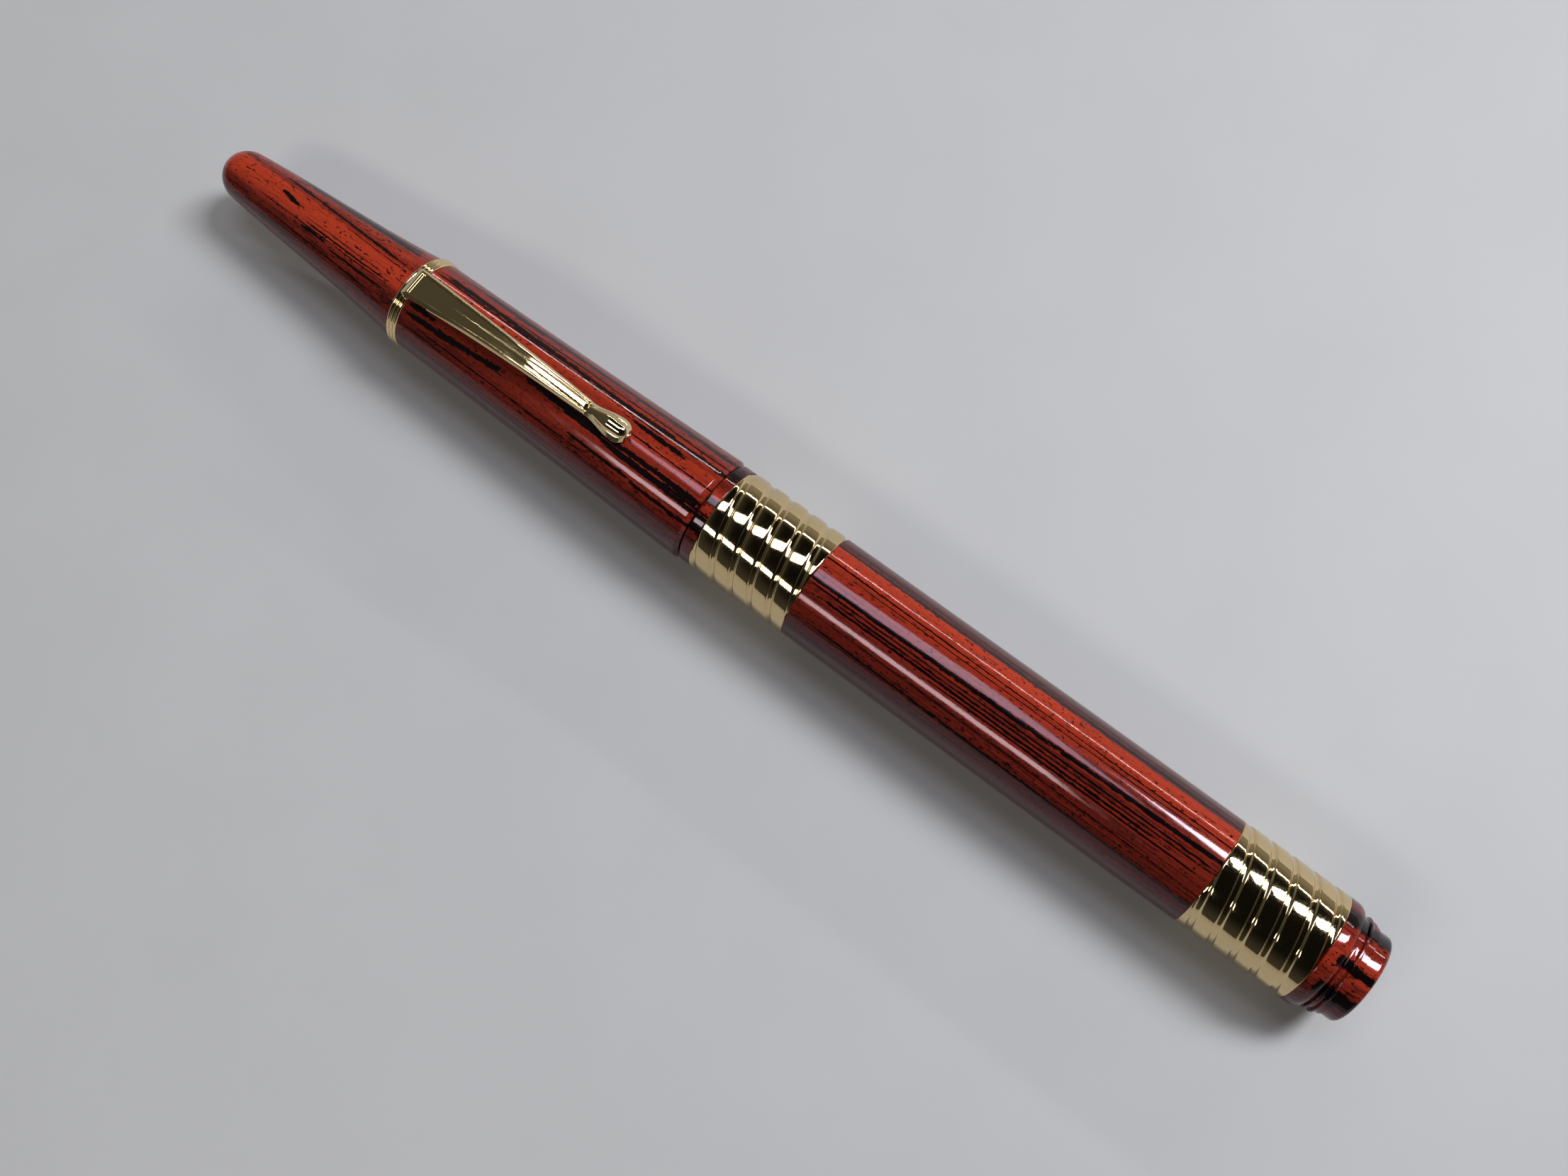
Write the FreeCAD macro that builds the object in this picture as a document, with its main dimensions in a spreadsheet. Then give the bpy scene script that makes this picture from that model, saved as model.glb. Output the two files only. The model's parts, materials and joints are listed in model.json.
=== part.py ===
import FreeCAD, Part
import Sketcher
import math
import os
import re

# Capped rollerball pen lying along X: crown at -X, tail at +X, clip upwards (+Z).
# The sheet holds every driving dimension in millimetres. Stations along the pen are
# measured from the tip of the crown, and radii from the pen's own axis. Every body is
# then shifted so that the origin lies under the middle of the pen, at its lowest line.

doc = FreeCAD.newDocument("rollerball_pen")
sheet = doc.addObject("Spreadsheet::Sheet", "dims")

DIMENSIONS = [
    ("axis", "0"),
    ("fit_gap", "0.02"),
    # Lengths of the pieces that follow each other along the outside.
    ("finial_length", "29.5"),
    ("ring_width", "1.4"),
    ("cap_tube_length", "41.0"),
    ("mouth_gap", "0.2"),
    ("collar_width", "1.35"),
    ("band_length", "12.6"),
    ("barrel_show", "50.15"),
    ("tail_collar_length", "1.9"),
    ("tail_thread_length", "1.95"),
    ("pilot_length", "1.75"),
    # Stations that follow from them.
    ("cap_front", "=finial_length + ring_width"),
    ("cap_mouth", "=cap_front + cap_tube_length"),
    ("collar_front", "=cap_mouth + mouth_gap"),
    ("band_front", "=collar_front + collar_width"),
    ("barrel_front", "=band_front + band_length"),
    ("rear_band_front", "=barrel_front + barrel_show"),
    ("tail_front", "=rear_band_front + band_length"),
    ("tail_thread_front", "=tail_front + tail_collar_length"),
    ("pilot_front", "=tail_thread_front + tail_thread_length"),
    ("pen_length", "=pilot_front + pilot_length"),
    # Crown.
    ("dome_radius", "3.08"),
    ("dome_meet", "2.77"),
    ("crown_start_radius", "=sqrt(dome_radius^2 - (dome_radius - dome_meet)^2)"),
    ("crown_base_radius", "5.4"),
    ("crown_reach", "8.9"),
    ("crown_swell", "4.02"),
    ("crown_flare", "4.154"),
    ("tenon_radius", "4.3"),
    ("tenon_hole", "2.7"),
    ("tenon_length", "8.0"),
    ("tenon_floor", "2.6"),
    # Clip ring.
    ("ring_front_radius", "5.48"),
    ("ring_groove_radius", "5.54"),
    ("ring_back_radius", "5.52"),
    ("ring_bead_radius", "0.3"),
    # Cap tube and its liner.
    ("cap_start_radius", "5.46"),
    ("cap_lip_radius", "6.36"),
    ("cap_reach", "13.3"),
    ("cap_front_swell", "5.69"),
    ("cap_back_swell", "6.005"),
    ("lip_chamfer_length", "0.5"),
    ("lip_chamfer_depth", "0.42"),
    ("cap_front_bore", "4.72"),
    ("cap_back_bore", "5.25"),
    ("cap_bore_step", "52"),
    ("mouth_bore", "5.7"),
    ("mouth_bore_length", "5.3"),
    ("liner_front", "32.8"),
    ("liner_step", "37.7"),
    ("liner_back", "43.2"),
    ("liner_radius", "4.7"),
    ("liner_hole", "4.15"),
    ("liner_nose_radius", "2.68"),
    ("liner_nose_hole", "1.9"),
    ("liner_wall", "0.8"),
    # Threads: the same one at both ends, so that the cap fits on the tail too.
    ("thread_crest", "5.65"),
    ("thread_root", "5.3"),
    ("thread_pitch", "0.72"),
    ("front_pilot_radius", "5.18"),
    ("pilot_radius", "5.1"),
    ("thread_sink", "0.06"),
    ("thread_half_foot", "0.27"),
    ("thread_half_crest", "0.09"),
    ("thread_turns", "5"),
    ("tail_thread_turns", "1.8"),
    # Collar in the front of the barrel.
    ("collar_radius", "6.18"),
    ("collar_hole", "4.15"),
    ("collar_tenon", "4.8"),
    ("collar_tenon_length", "8.5"),
    ("front_thread_length", "4.3"),
    ("front_thread_relief", "0.45"),
    # Bands.
    ("band_radius", "6.25"),
    ("band_hole", "5.5"),
    ("rib_pitch", "=band_length / 5"),
    ("rib_lead", "=rib_pitch * 3"),
    ("groove_half_width", "0.5"),
    ("groove_foot_half_width", "0.34"),
    ("groove_depth", "0.2"),
    ("front_groove_lead_in", "1.0"),
    ("rear_groove_lead_in", "2.87"),
    # Barrel.
    ("barrel_radius", "6.2"),
    ("barrel_bore", "3.5"),
    ("barrel_reach", "16"),
    ("barrel_swell", "6.265"),
    ("tail_tenon", "4.5"),
    ("tail_tenon_length", "9.5"),
    # Tail.
    ("tail_radius", "6.22"),
    ("tail_shoulder_radius", "5.6"),
    ("tail_round", "1.1"),
    ("tail_round_radius", "1.3"),
    ("pilot_round", "0.55"),
    ("tail_wall", "1.7"),
    # Grip section.
    ("grip_back", "=collar_front - 8.1"),
    ("grip_front", "44"),
    ("grip_back_radius", "4.95"),
    ("grip_back_land", "1.4"),
    ("grip_waist", "49.5"),
    ("grip_waist_radius", "4.05"),
    ("grip_rise", "57"),
    ("grip_rise_radius", "4.3"),
    ("grip_bead", "46"),
    ("grip_bead_radius", "4.45"),
    ("grip_front_radius", "4.05"),
    ("grip_bead_curve", "3"),
    ("refill_bore", "3.15"),
    ("sleeve_front", "55.5"),
    ("sleeve_neck", "3.7"),
    ("sleeve_crest", "4.1"),
    ("sleeve_root", "3.85"),
    ("sleeve_back", "79"),
    ("sleeve_thread_front", "66"),
    ("sleeve_thread_pitch", "1"),
    ("sleeve_turns", "10"),
    # Nose cone.
    ("nose_front", "38.9"),
    ("nose_front_radius", "1.7"),
    ("nose_back_radius", "3.95"),
    ("nose_curve", "14"),
    ("nose_hole", "1.3"),
    ("nose_seat", "2.2"),
    ("nose_throat", "41.4"),
    ("nose_stop", "44.15"),
    ("nose_spigot", "3.6"),
    ("nose_spigot_length", "3.6"),
    # Refill.
    ("refill_length", "111"),
    ("point_front", "34.4"),
    ("ball_radius", "0.35"),
    ("ball_showing", "0.2"),
    ("ball_clearance", "0.02"),
    ("point_rim", "0.42"),
    ("point_radius", "1.2"),
    ("point_cone_length", "3.6"),
    ("point_hole", "0.3"),
    ("point_well", "40"),
    ("point_back", "43.5"),
    ("seat_radius", "=ball_radius + ball_clearance"),
    ("seat_centre", "=point_front + ball_radius"),
    ("seat_mouth", "=sqrt(seat_radius^2 - (ball_radius - ball_showing)^2)"),
    ("seat_floor", "=seat_centre + sqrt(seat_radius^2 - point_hole^2)"),
    ("shoulder_front", "41.6"),
    ("shoulder_neck", "2.05"),
    ("shoulder_step", "44.2"),
    ("shoulder_rim", "46.5"),
    ("shoulder_back", "49"),
    ("refill_radius", "3.05"),
    ("refill_wall", "0.3"),
    ("plug_length", "5"),
    ("plug_flange", "1.2"),
    ("plug_vent", "0.6"),
    ("refill_back", "=point_front + refill_length"),
    ("filler_radius", "2.5"),
    ("filler_back", "139.9"),
    ("wick_radius", "0.7"),
    ("wick_back", "50.5"),
    # Spring behind the refill.
    ("spring_radius", "2.45"),
    ("spring_wire", "0.25"),
    ("spring_turns", "5"),
    ("spring_gap", "0.1"),
    ("spring_lap", "0.15"),
    # Clip: stations are measured from its own front edge, above the ring.
    ("clip_front", "=finial_length + 0.9"),
    ("saddle_radius", "5.73"),
    ("saddle_length", "2.4"),
    ("brow_length", "0.6"),
    ("brow_height", "6.97"),
    ("clip_edge", "0.12"),
    ("rib_crest", "0.3"),
    ("drop_start", "24.9"),
    ("drop_neck", "0.72"),
    ("drop_waist", "26.3"),
    ("drop_belly", "27.4"),
    ("drop_middle", "29.35"),
    ("drop_half_width", "1.42"),
    ("drop_plate_bottom", "6.3"),
    ("drop_plate", "0.5"),
    ("bulb_axis", "6.6"),
    ("bulb_start", "25.3"),
    ("bulb_rise", "26.6"),
    ("bulb_rise_radius", "0.45"),
    ("bulb_belly", "27.6"),
    ("bulb_peak", "29.0"),
    ("bulb_brow", "30.0"),
    ("bulb_brow_radius", "0.6"),
    ("bulb_end", "30.5"),
    ("bulb_radius", "1.0"),
    ("bulb_flat", "6.24"),
    ("pip_middle", "30.75"),
    ("pip_radius", "0.3"),
]

for row, (name, value) in enumerate(DIMENSIONS, start=1):
    sheet.set("A%d" % row, name)
    sheet.set("B%d" % row, value)
    sheet.setAlias("B%d" % row, name)
doc.recompute()


def bound(text):
    """Turn an expression in plain dimension names into one that reads the sheet."""
    return re.sub(r"[a-z_]+", lambda match: "dims." + match.group(0), text)


def number(text):
    """The value, in millimetres, of an expression in dimension names."""
    value = sheet.evalExpression(bound(text))
    return float(getattr(value, "Value", value))


def plane(body, role):
    for feature in body.Origin.OriginFeatures:
        if feature.Role == role:
            return feature
    raise ValueError(role)


def new_body(name):
    """A body on the pen's axis, shifted from the crown's tip to the middle of the pen."""
    body = doc.addObject("PartDesign::Body", name)
    body.Label = name
    body.setExpression("Placement.Base.x", "-dims.pen_length / 2")
    body.setExpression("Placement.Base.z", "dims.cap_lip_radius")
    return body


def new_sketch(body, name, role="XZ_Plane"):
    sketch = body.newObject("Sketcher::SketchObject", name)
    sketch.AttachmentSupport = [(plane(body, role), "")]
    sketch.MapMode = "FlatFace"
    return sketch


def set_value(sketch, constraint, text):
    index = sketch.addConstraint(constraint)
    sketch.setExpression("Constraints[%d]" % index, bound(text))


def sweep_edge(sketch, start, stop, controls):
    """Smooth cubic edge, shaped by two control points given as (x, r) expressions."""
    poles = [start] + [FreeCAD.Vector(number(x), number(r), 0) for x, r in controls] + [stop]
    curve = Part.BSplineCurve()
    curve.buildFromPolesMultsKnots(poles, [4, 4], [0, 1], False, 3)
    edge = sketch.addGeometry(curve)
    sketch.exposeInternalGeometry(edge)
    for pole, (x, r) in enumerate(controls, start=2):
        handle = edge + pole
        set_value(sketch, Sketcher.Constraint("DistanceX", handle, 3, number(x)), x)
        set_value(sketch, Sketcher.Constraint("DistanceY", handle, 3, number(r)), r)
    return edge


def outline(sketch, points):
    """Closed outline through (x, r) points. A third entry shapes the edge that leaves the
    point: a list of two control points makes it a smooth cubic, a radius followed by +1
    or -1 makes it an arc that turns left or right on its way."""
    vertices = [FreeCAD.Vector(number(p[0]), number(p[1]), 0) for p in points]
    ends = []
    for i, point in enumerate(points):
        start = vertices[i]
        stop = vertices[(i + 1) % len(points)]
        if len(point) == 2:
            edge = sketch.addGeometry(Part.LineSegment(start, stop))
            ends.append((edge, 1, 2))
            continue
        if len(point) == 3:
            ends.append((sweep_edge(sketch, start, stop, point[2]), 1, 2))
            continue
        radius = number(point[2])
        side = point[3]
        chord = stop.sub(start)
        half = chord.Length / 2
        normal = FreeCAD.Vector(-chord.y, chord.x, 0).normalize()
        reach = math.sqrt(max(radius * radius - half * half, 0.0))
        centre = start.add(stop).multiply(0.5).add(normal.multiply(side * reach))
        first, last = (start, stop) if side > 0 else (stop, start)
        from_angle = math.atan2(first.y - centre.y, first.x - centre.x)
        to_angle = math.atan2(last.y - centre.y, last.x - centre.x)
        if to_angle < from_angle:
            to_angle += 2 * math.pi
        circle = Part.Circle(centre, FreeCAD.Vector(0, 0, 1), radius)
        edge = sketch.addGeometry(Part.ArcOfCircle(circle, from_angle, to_angle))
        ends.append((edge, 1, 2) if side > 0 else (edge, 2, 1))
        set_value(sketch, Sketcher.Constraint("Radius", edge, radius), point[2])
    for i, (edge, tail, head) in enumerate(ends):
        following, start, _ = ends[(i + 1) % len(ends)]
        sketch.addConstraint(Sketcher.Constraint("Coincident", edge, head, following, start))
    for (edge, tail, _), point, vertex in zip(ends, points, vertices):
        set_value(sketch, Sketcher.Constraint("DistanceX", edge, tail, vertex.x), point[0])
        set_value(sketch, Sketcher.Constraint("DistanceY", edge, tail, vertex.y), point[1])


def turn(body, name, points):
    """Solid of revolution about the pen's axis."""
    sketch = new_sketch(body, name + "_outline")
    outline(sketch, points)
    solid = body.newObject("PartDesign::Revolution", name)
    solid.Profile = sketch
    solid.ReferenceAxis = (sketch, ["H_Axis"])
    solid.Angle = 360
    doc.recompute()
    return solid


def tube(body, name, front, back, outer, inner):
    return turn(body, name, [(front, inner), (front, outer), (back, outer), (back, inner)])


def rod(body, name, front, back, radius):
    return turn(body, name, [(front, "axis"), (front, radius), (back, radius), (back, "axis")])


def wind(body, kind, name, points, lead, turns):
    """Right-hand helical ridge (AdditiveHelix) or groove (SubtractiveHelix)."""
    sketch = new_sketch(body, name + "_outline")
    outline(sketch, points)
    ridge = body.newObject("PartDesign::" + kind, name)
    ridge.Profile = sketch
    ridge.ReferenceAxis = (sketch, ["H_Axis"])
    ridge.Mode = "pitch-turns-angle"
    ridge.setExpression("Pitch", bound(lead))
    ridge.setExpression("Turns", bound(turns))
    ridge.LeftHanded = False
    ridge.Refine = False
    doc.recompute()
    return ridge


def thread(body, name, front, root, crest, pitch, turns):
    foot = root + " - thread_sink"
    points = [
        (front + " - thread_half_foot", foot),
        (front + " - thread_half_crest", crest),
        (front + " + thread_half_crest", crest),
        (front + " + thread_half_foot", foot),
    ]
    return wind(body, "AdditiveHelix", name, points, pitch, turns)


# Crown: a long rounded cone with a hollow tenon that clamps the clip ring.
crown = new_body("cap_finial")
turn(crown, "crown_shape", [
    ("axis", "axis", "dome_radius", -1),
    ("dome_meet", "crown_start_radius",
     [("dome_meet + crown_reach", "crown_swell"), ("finial_length - crown_reach", "crown_flare")]),
    ("finial_length", "crown_base_radius"),
    ("finial_length", "tenon_radius"),
    ("finial_length + tenon_length", "tenon_radius"),
    ("finial_length + tenon_length", "tenon_hole"),
    ("finial_length + tenon_floor", "tenon_hole"),
    ("finial_length + tenon_floor", "axis"),
])

# Clip ring: three rounded beads side by side.
ring = new_body("clip_ring")
turn(ring, "ring_beads", [
    ("finial_length", "tenon_radius + fit_gap"),
    ("finial_length", "ring_front_radius", "ring_bead_radius", -1),
    ("finial_length + ring_width / 3", "ring_groove_radius", "ring_bead_radius", -1),
    ("finial_length + ring_width * 2 / 3", "ring_groove_radius", "ring_bead_radius", -1),
    ("cap_front", "ring_back_radius"),
    ("cap_front", "tenon_radius + fit_gap"),
])

# Cap tube: widens gently to a chamfered lip, stepped bore inside.
cap = new_body("cap_tube")
turn(cap, "cap_shape", [
    ("cap_front", "tenon_radius + fit_gap"),
    ("cap_front", "cap_start_radius",
     [("cap_front + cap_reach", "cap_front_swell"), ("cap_mouth - cap_reach", "cap_back_swell")]),
    ("cap_mouth - lip_chamfer_length", "cap_lip_radius"),
    ("cap_mouth", "cap_lip_radius - lip_chamfer_depth"),
    ("cap_mouth", "mouth_bore"),
    ("cap_mouth - mouth_bore_length", "mouth_bore"),
    ("cap_mouth - mouth_bore_length", "cap_back_bore"),
    ("cap_bore_step", "cap_back_bore"),
    ("cap_bore_step", "cap_front_bore"),
    ("liner_step - fit_gap", "cap_front_bore"),
    ("liner_step - fit_gap", "tenon_radius + fit_gap"),
])

# Liner: a stepped plastic cup that closes round the nose and the point.
liner = new_body("inner_cap")
turn(liner, "liner_cup", [
    ("liner_front", "axis"),
    ("liner_front", "liner_nose_radius"),
    ("liner_step", "liner_nose_radius"),
    ("liner_step", "liner_radius"),
    ("liner_back", "liner_radius"),
    ("liner_back", "liner_hole"),
    ("liner_step + liner_wall", "liner_hole"),
    ("liner_step + liner_wall", "liner_nose_hole"),
    ("liner_front + liner_wall", "liner_nose_hole"),
    ("liner_front + liner_wall", "axis"),
])

# Collar: visible rim, cap thread, pilot, and a tenon glued into the barrel.
collar = new_body("front_collar")
turn(collar, "collar_shape", [
    ("grip_back + ball_clearance", "collar_hole"),
    ("grip_back + ball_clearance", "front_pilot_radius - clip_edge"),
    ("grip_back + clip_edge * 2", "front_pilot_radius"),
    ("collar_front - front_thread_relief - front_thread_length", "front_pilot_radius"),
    ("collar_front - front_thread_relief - front_thread_length", "thread_root"),
    ("collar_front", "thread_root"),
    ("collar_front", "collar_radius"),
    ("band_front", "collar_radius"),
    ("band_front", "collar_tenon"),
    ("band_front + collar_tenon_length", "collar_tenon"),
    ("band_front + collar_tenon_length", "collar_hole"),
])
thread(collar, "cap_thread", "collar_front - front_thread_length", "thread_root",
       "thread_crest", "thread_pitch", "thread_turns")


def ribbed_band(name, front, lead_in):
    """Gold band with three right-hand helical grooves between broad ribs. The first groove
    starts that far in front of the band, at the top."""
    body = new_body(name)
    tube(body, name + "_blank", front, front + " + band_length", "band_radius", "band_hole")
    for start in range(3):
        middle = "%s - %s - rib_pitch * %d" % (front, lead_in, start)
        points = [
            (middle + " - groove_half_width", "band_radius + groove_depth"),
            (middle + " - groove_foot_half_width", "band_radius - groove_depth"),
            (middle + " + groove_foot_half_width", "band_radius - groove_depth"),
            (middle + " + groove_half_width", "band_radius + groove_depth"),
        ]
        wind(body, "SubtractiveHelix", "%s_groove_%d" % (name, start), points, "rib_lead",
             "(band_length + %s * 2 + rib_pitch * %d) / rib_lead" % (lead_in, start))
    return body


ribbed_band("front_band", "band_front", "front_groove_lead_in")
ribbed_band("rear_band", "rear_band_front", "rear_groove_lead_in")

# Barrel: near-cylindrical, reduced at both ends to carry the bands.
barrel = new_body("barrel_tube")
turn(barrel, "barrel_shape", [
    ("band_front", "collar_tenon + fit_gap"),
    ("band_front", "band_hole - fit_gap"),
    ("barrel_front", "band_hole - fit_gap"),
    ("barrel_front", "barrel_radius",
     [("barrel_front + barrel_reach", "barrel_swell"), ("rear_band_front - barrel_reach", "barrel_swell")]),
    ("rear_band_front", "barrel_radius"),
    ("rear_band_front", "band_hole - fit_gap"),
    ("tail_front", "band_hole - fit_gap"),
    ("tail_front", "tail_tenon + fit_gap"),
    ("tail_front - tail_tenon_length - fit_gap", "tail_tenon + fit_gap"),
    ("tail_front - tail_tenon_length - fit_gap", "barrel_bore"),
    ("band_front + collar_tenon_length + fit_gap", "barrel_bore"),
    ("band_front + collar_tenon_length + fit_gap", "collar_tenon + fit_gap"),
])

# Tail: rounded collar, posting thread and a plain spigot, hollow for the spring.
tail = new_body("tail_piece")
turn(tail, "tail_shape", [
    ("tail_front - tail_tenon_length", "barrel_bore"),
    ("tail_front - tail_tenon_length", "tail_tenon"),
    ("tail_front", "tail_tenon"),
    ("tail_front", "tail_radius"),
    ("tail_thread_front - tail_round", "tail_radius", "tail_round_radius", -1),
    ("tail_thread_front", "tail_shoulder_radius"),
    ("tail_thread_front", "thread_root"),
    ("pilot_front", "thread_root"),
    ("pilot_front", "pilot_radius"),
    ("pen_length - pilot_round", "pilot_radius", "pilot_round", -1),
    ("pen_length", "pilot_radius - pilot_round"),
    ("pen_length", "axis"),
    ("pen_length - tail_wall", "axis"),
    ("pen_length - tail_wall", "barrel_bore"),
])
thread(tail, "posting_thread", "tail_thread_front + thread_half_foot", "thread_root",
       "thread_crest", "thread_pitch", "tail_thread_turns")

# Spring: an open coil between two closed end turns.
spring = new_body("refill_spring")


def coil_section(sketch, station):
    circle = Part.Circle(FreeCAD.Vector(number(station), number("spring_radius"), 0),
                         FreeCAD.Vector(0, 0, 1), number("spring_wire"))
    index = sketch.addGeometry(circle)
    set_value(sketch, Sketcher.Constraint("Radius", index, number("spring_wire")), "spring_wire")
    set_value(sketch, Sketcher.Constraint("DistanceX", index, 3, number(station)), station)
    set_value(sketch, Sketcher.Constraint("DistanceY", index, 3, number("spring_radius")), "spring_radius")


coil_front = "refill_back + spring_gap + spring_wire + spring_lap"
coil_back = "pen_length - tail_wall - spring_gap - spring_wire - spring_lap"
coil_sketch = new_sketch(spring, "coil_section")
coil_section(coil_sketch, coil_front)
coil = spring.newObject("PartDesign::AdditiveHelix", "coil")
coil.Profile = coil_sketch
coil.ReferenceAxis = (coil_sketch, ["H_Axis"])
coil.Mode = "pitch-turns-angle"
coil.setExpression("Turns", bound("spring_turns"))
coil.setExpression("Pitch", "(%s - (%s)) / dims.spring_turns" % (bound(coil_back), bound(coil_front)))
doc.recompute()
for label, station in (("front", coil_front + " - spring_lap"), ("back", coil_back + " + spring_lap")):
    turn_sketch = new_sketch(spring, "closed_turn_" + label)
    coil_section(turn_sketch, station)
    closed = spring.newObject("PartDesign::Revolution", "end_turn_" + label)
    closed.Profile = turn_sketch
    closed.ReferenceAxis = (turn_sketch, ["H_Axis"])
    closed.Angle = 360
    closed.Refine = False
    doc.recompute()

# Grip section with its waist, the gold nose and the threaded sleeve.
grip = new_body("grip_section")
turn(grip, "grip_shape", [
    ("grip_front", "nose_spigot + fit_gap"),
    ("grip_front", "grip_front_radius", "grip_bead_curve", -1),
    ("grip_bead", "grip_bead_radius",
     [("grip_waist", "grip_waist_radius"), ("grip_rise", "grip_rise_radius")]),
    ("grip_back - grip_back_land", "grip_back_radius"),
    ("grip_back", "grip_back_radius"),
    ("grip_back", "sleeve_neck + fit_gap"),
    ("sleeve_front - fit_gap", "sleeve_neck + fit_gap"),
    ("sleeve_front - fit_gap", "refill_bore"),
    ("grip_front + nose_spigot_length + fit_gap", "refill_bore"),
    ("grip_front + nose_spigot_length + fit_gap", "nose_spigot + fit_gap"),
])

nose = new_body("nose_cone")
turn(nose, "nose_shape", [
    ("nose_front", "nose_hole"),
    ("nose_front", "nose_front_radius", "nose_curve", -1),
    ("grip_front", "nose_back_radius"),
    ("grip_front", "nose_spigot"),
    ("grip_front + nose_spigot_length", "nose_spigot"),
    ("grip_front + nose_spigot_length", "refill_bore"),
    ("nose_stop", "refill_bore"),
    ("nose_stop", "nose_seat"),
    ("nose_throat", "nose_seat"),
    ("nose_throat", "nose_hole"),
])

sleeve = new_body("section_sleeve")
turn(sleeve, "sleeve_shape", [
    ("sleeve_front", "refill_bore"),
    ("sleeve_front", "sleeve_neck"),
    ("grip_back", "sleeve_neck"),
    ("grip_back", "sleeve_root"),
    ("sleeve_back", "sleeve_root"),
    ("sleeve_back", "refill_bore"),
])
thread(sleeve, "section_thread", "sleeve_thread_front", "sleeve_root", "sleeve_crest",
       "sleeve_thread_pitch", "sleeve_turns")

# Refill: point with its ball, shoulder, tube, ink filler, wick and vented plug.
point = new_body("refill_point")
turn(point, "point_shape", [
    ("point_front + ball_showing", "seat_mouth"),
    ("point_front + ball_showing", "point_rim"),
    ("point_front + ball_showing + point_cone_length", "point_radius"),
    ("point_back", "point_radius"),
    ("point_back", "wick_radius + fit_gap"),
    ("point_well", "wick_radius + fit_gap"),
    ("point_well", "point_hole"),
    ("seat_floor", "point_hole", "seat_radius", 1),
])

ball = new_body("writing_ball")
turn(ball, "ball_shape", [
    ("point_front", "axis", "ball_radius", -1),
    ("seat_centre", "ball_radius", "ball_radius", -1),
    ("seat_centre + ball_radius", "axis"),
])

shoulder = new_body("refill_nose")
turn(shoulder, "shoulder_shape", [
    ("shoulder_front", "point_radius + fit_gap"),
    ("shoulder_front", "shoulder_neck"),
    ("shoulder_step", "shoulder_neck"),
    ("shoulder_step", "refill_radius"),
    ("shoulder_rim", "refill_radius"),
    ("shoulder_rim", "refill_radius - refill_wall - fit_gap"),
    ("shoulder_back", "refill_radius - refill_wall - fit_gap"),
    ("shoulder_back", "wick_radius + fit_gap"),
    ("point_back + fit_gap", "wick_radius + fit_gap"),
    ("point_back + fit_gap", "point_radius + fit_gap"),
])

refill = new_body("refill_tube")
tube(refill, "refill_shape", "shoulder_rim", "refill_back - plug_flange", "refill_radius",
     "refill_radius - refill_wall")

plug = new_body("refill_plug")
turn(plug, "plug_shape", [
    ("refill_back - plug_length", "plug_vent"),
    ("refill_back - plug_length", "refill_radius - refill_wall - fit_gap"),
    ("refill_back - plug_flange", "refill_radius - refill_wall - fit_gap"),
    ("refill_back - plug_flange", "refill_radius"),
    ("refill_back", "refill_radius"),
    ("refill_back", "plug_vent"),
])

filler = new_body("ink_filler")
rod(filler, "filler_shape", "wick_back + fit_gap", "filler_back", "filler_radius")

wick = new_body("feed_wick")
rod(wick, "wick_shape", "point_well + fit_gap", "wick_back", "wick_radius")

# Clip: sections across it, from the head to the neck. Each row gives, in millimetres,
# the station, half width, underside, top, rim width, trough depth, half width of the
# centre rib at its foot, and the height of that rib above the trough.
CLIP_SECTIONS = [
    ("head", 0.0, 1.88, 5.2, 6.95, 0.44, 0.34, 0.12, 0.01),
    ("shoulder", 3.6, 1.72, 6.15, 7.35, 0.4, 0.38, 0.12, 0.01),
    ("chest", 7.6, 1.5, 6.5, 7.65, 0.36, 0.36, 0.13, 0.03),
    ("middle", 11.4, 1.33, 6.62, 7.78, 0.3, 0.32, 0.3, 0.2),
    ("swell", 15.0, 1.2, 6.64, 7.78, 0.22, 0.26, 0.52, 0.38),
    ("bend", 18.4, 1.11, 6.6, 7.67, 0.16, 0.18, 0.72, 0.5),
    ("wrist", 22.0, 1.0, 6.48, 7.36, 0.12, 0.12, 0.76, 0.46),
    ("neck", 24.6, 0.9, 6.38, 7.08, 0.1, 0.07, 0.6, 0.24),
    ("tail", 26.4, 0.6, 6.42, 6.86, 0.08, 0.03, 0.3, 0.02),
]
SECTION_KEYS = ("station", "width", "under", "top", "rim", "trough", "rib", "rise")

row = len(DIMENSIONS) + 1
for section in CLIP_SECTIONS:
    for key, value in zip(SECTION_KEYS, section[1:]):
        alias = "clip_%s_%s" % (section[0], key)
        sheet.set("A%d" % row, alias)
        sheet.set("B%d" % row, str(value))
        sheet.setAlias("B%d" % row, alias)
        row += 1
doc.recompute()


def clip_section(body, name):
    """Closed section across the clip: raised rims, trough and rounded centre rib."""
    at = "clip_" + name + "_"
    half = [
        (at + "rib * rib_crest", at + "top - " + at + "trough + " + at + "rise"),
        (at + "rib", at + "top - " + at + "trough"),
        (at + "width - " + at + "rim", at + "top - " + at + "trough"),
        (at + "width - " + at + "rim * 0.8", at + "top"),
        (at + "width - clip_edge", at + "top"),
        (at + "width", at + "top - clip_edge"),
        (at + "width", at + "under + clip_edge"),
        (at + "width - clip_edge", at + "under"),
    ]
    mirrored = [("-(" + y + ")", z) for y, z in reversed(half)]
    sketch = new_sketch(body, "section_" + name, "YZ_Plane")
    sketch.setExpression("AttachmentOffset.Base.z", bound("clip_front + " + at + "station"))
    outline(sketch, half + mirrored)
    return sketch


clip = new_body("pocket_clip")
sections = [clip_section(clip, section[0]) for section in CLIP_SECTIONS]
bar = clip.newObject("PartDesign::AdditiveLoft", "clip_bar")
bar.Profile = sections[0]
bar.Sections = sections[1:]
bar.Ruled = False
doc.recompute()


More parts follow.
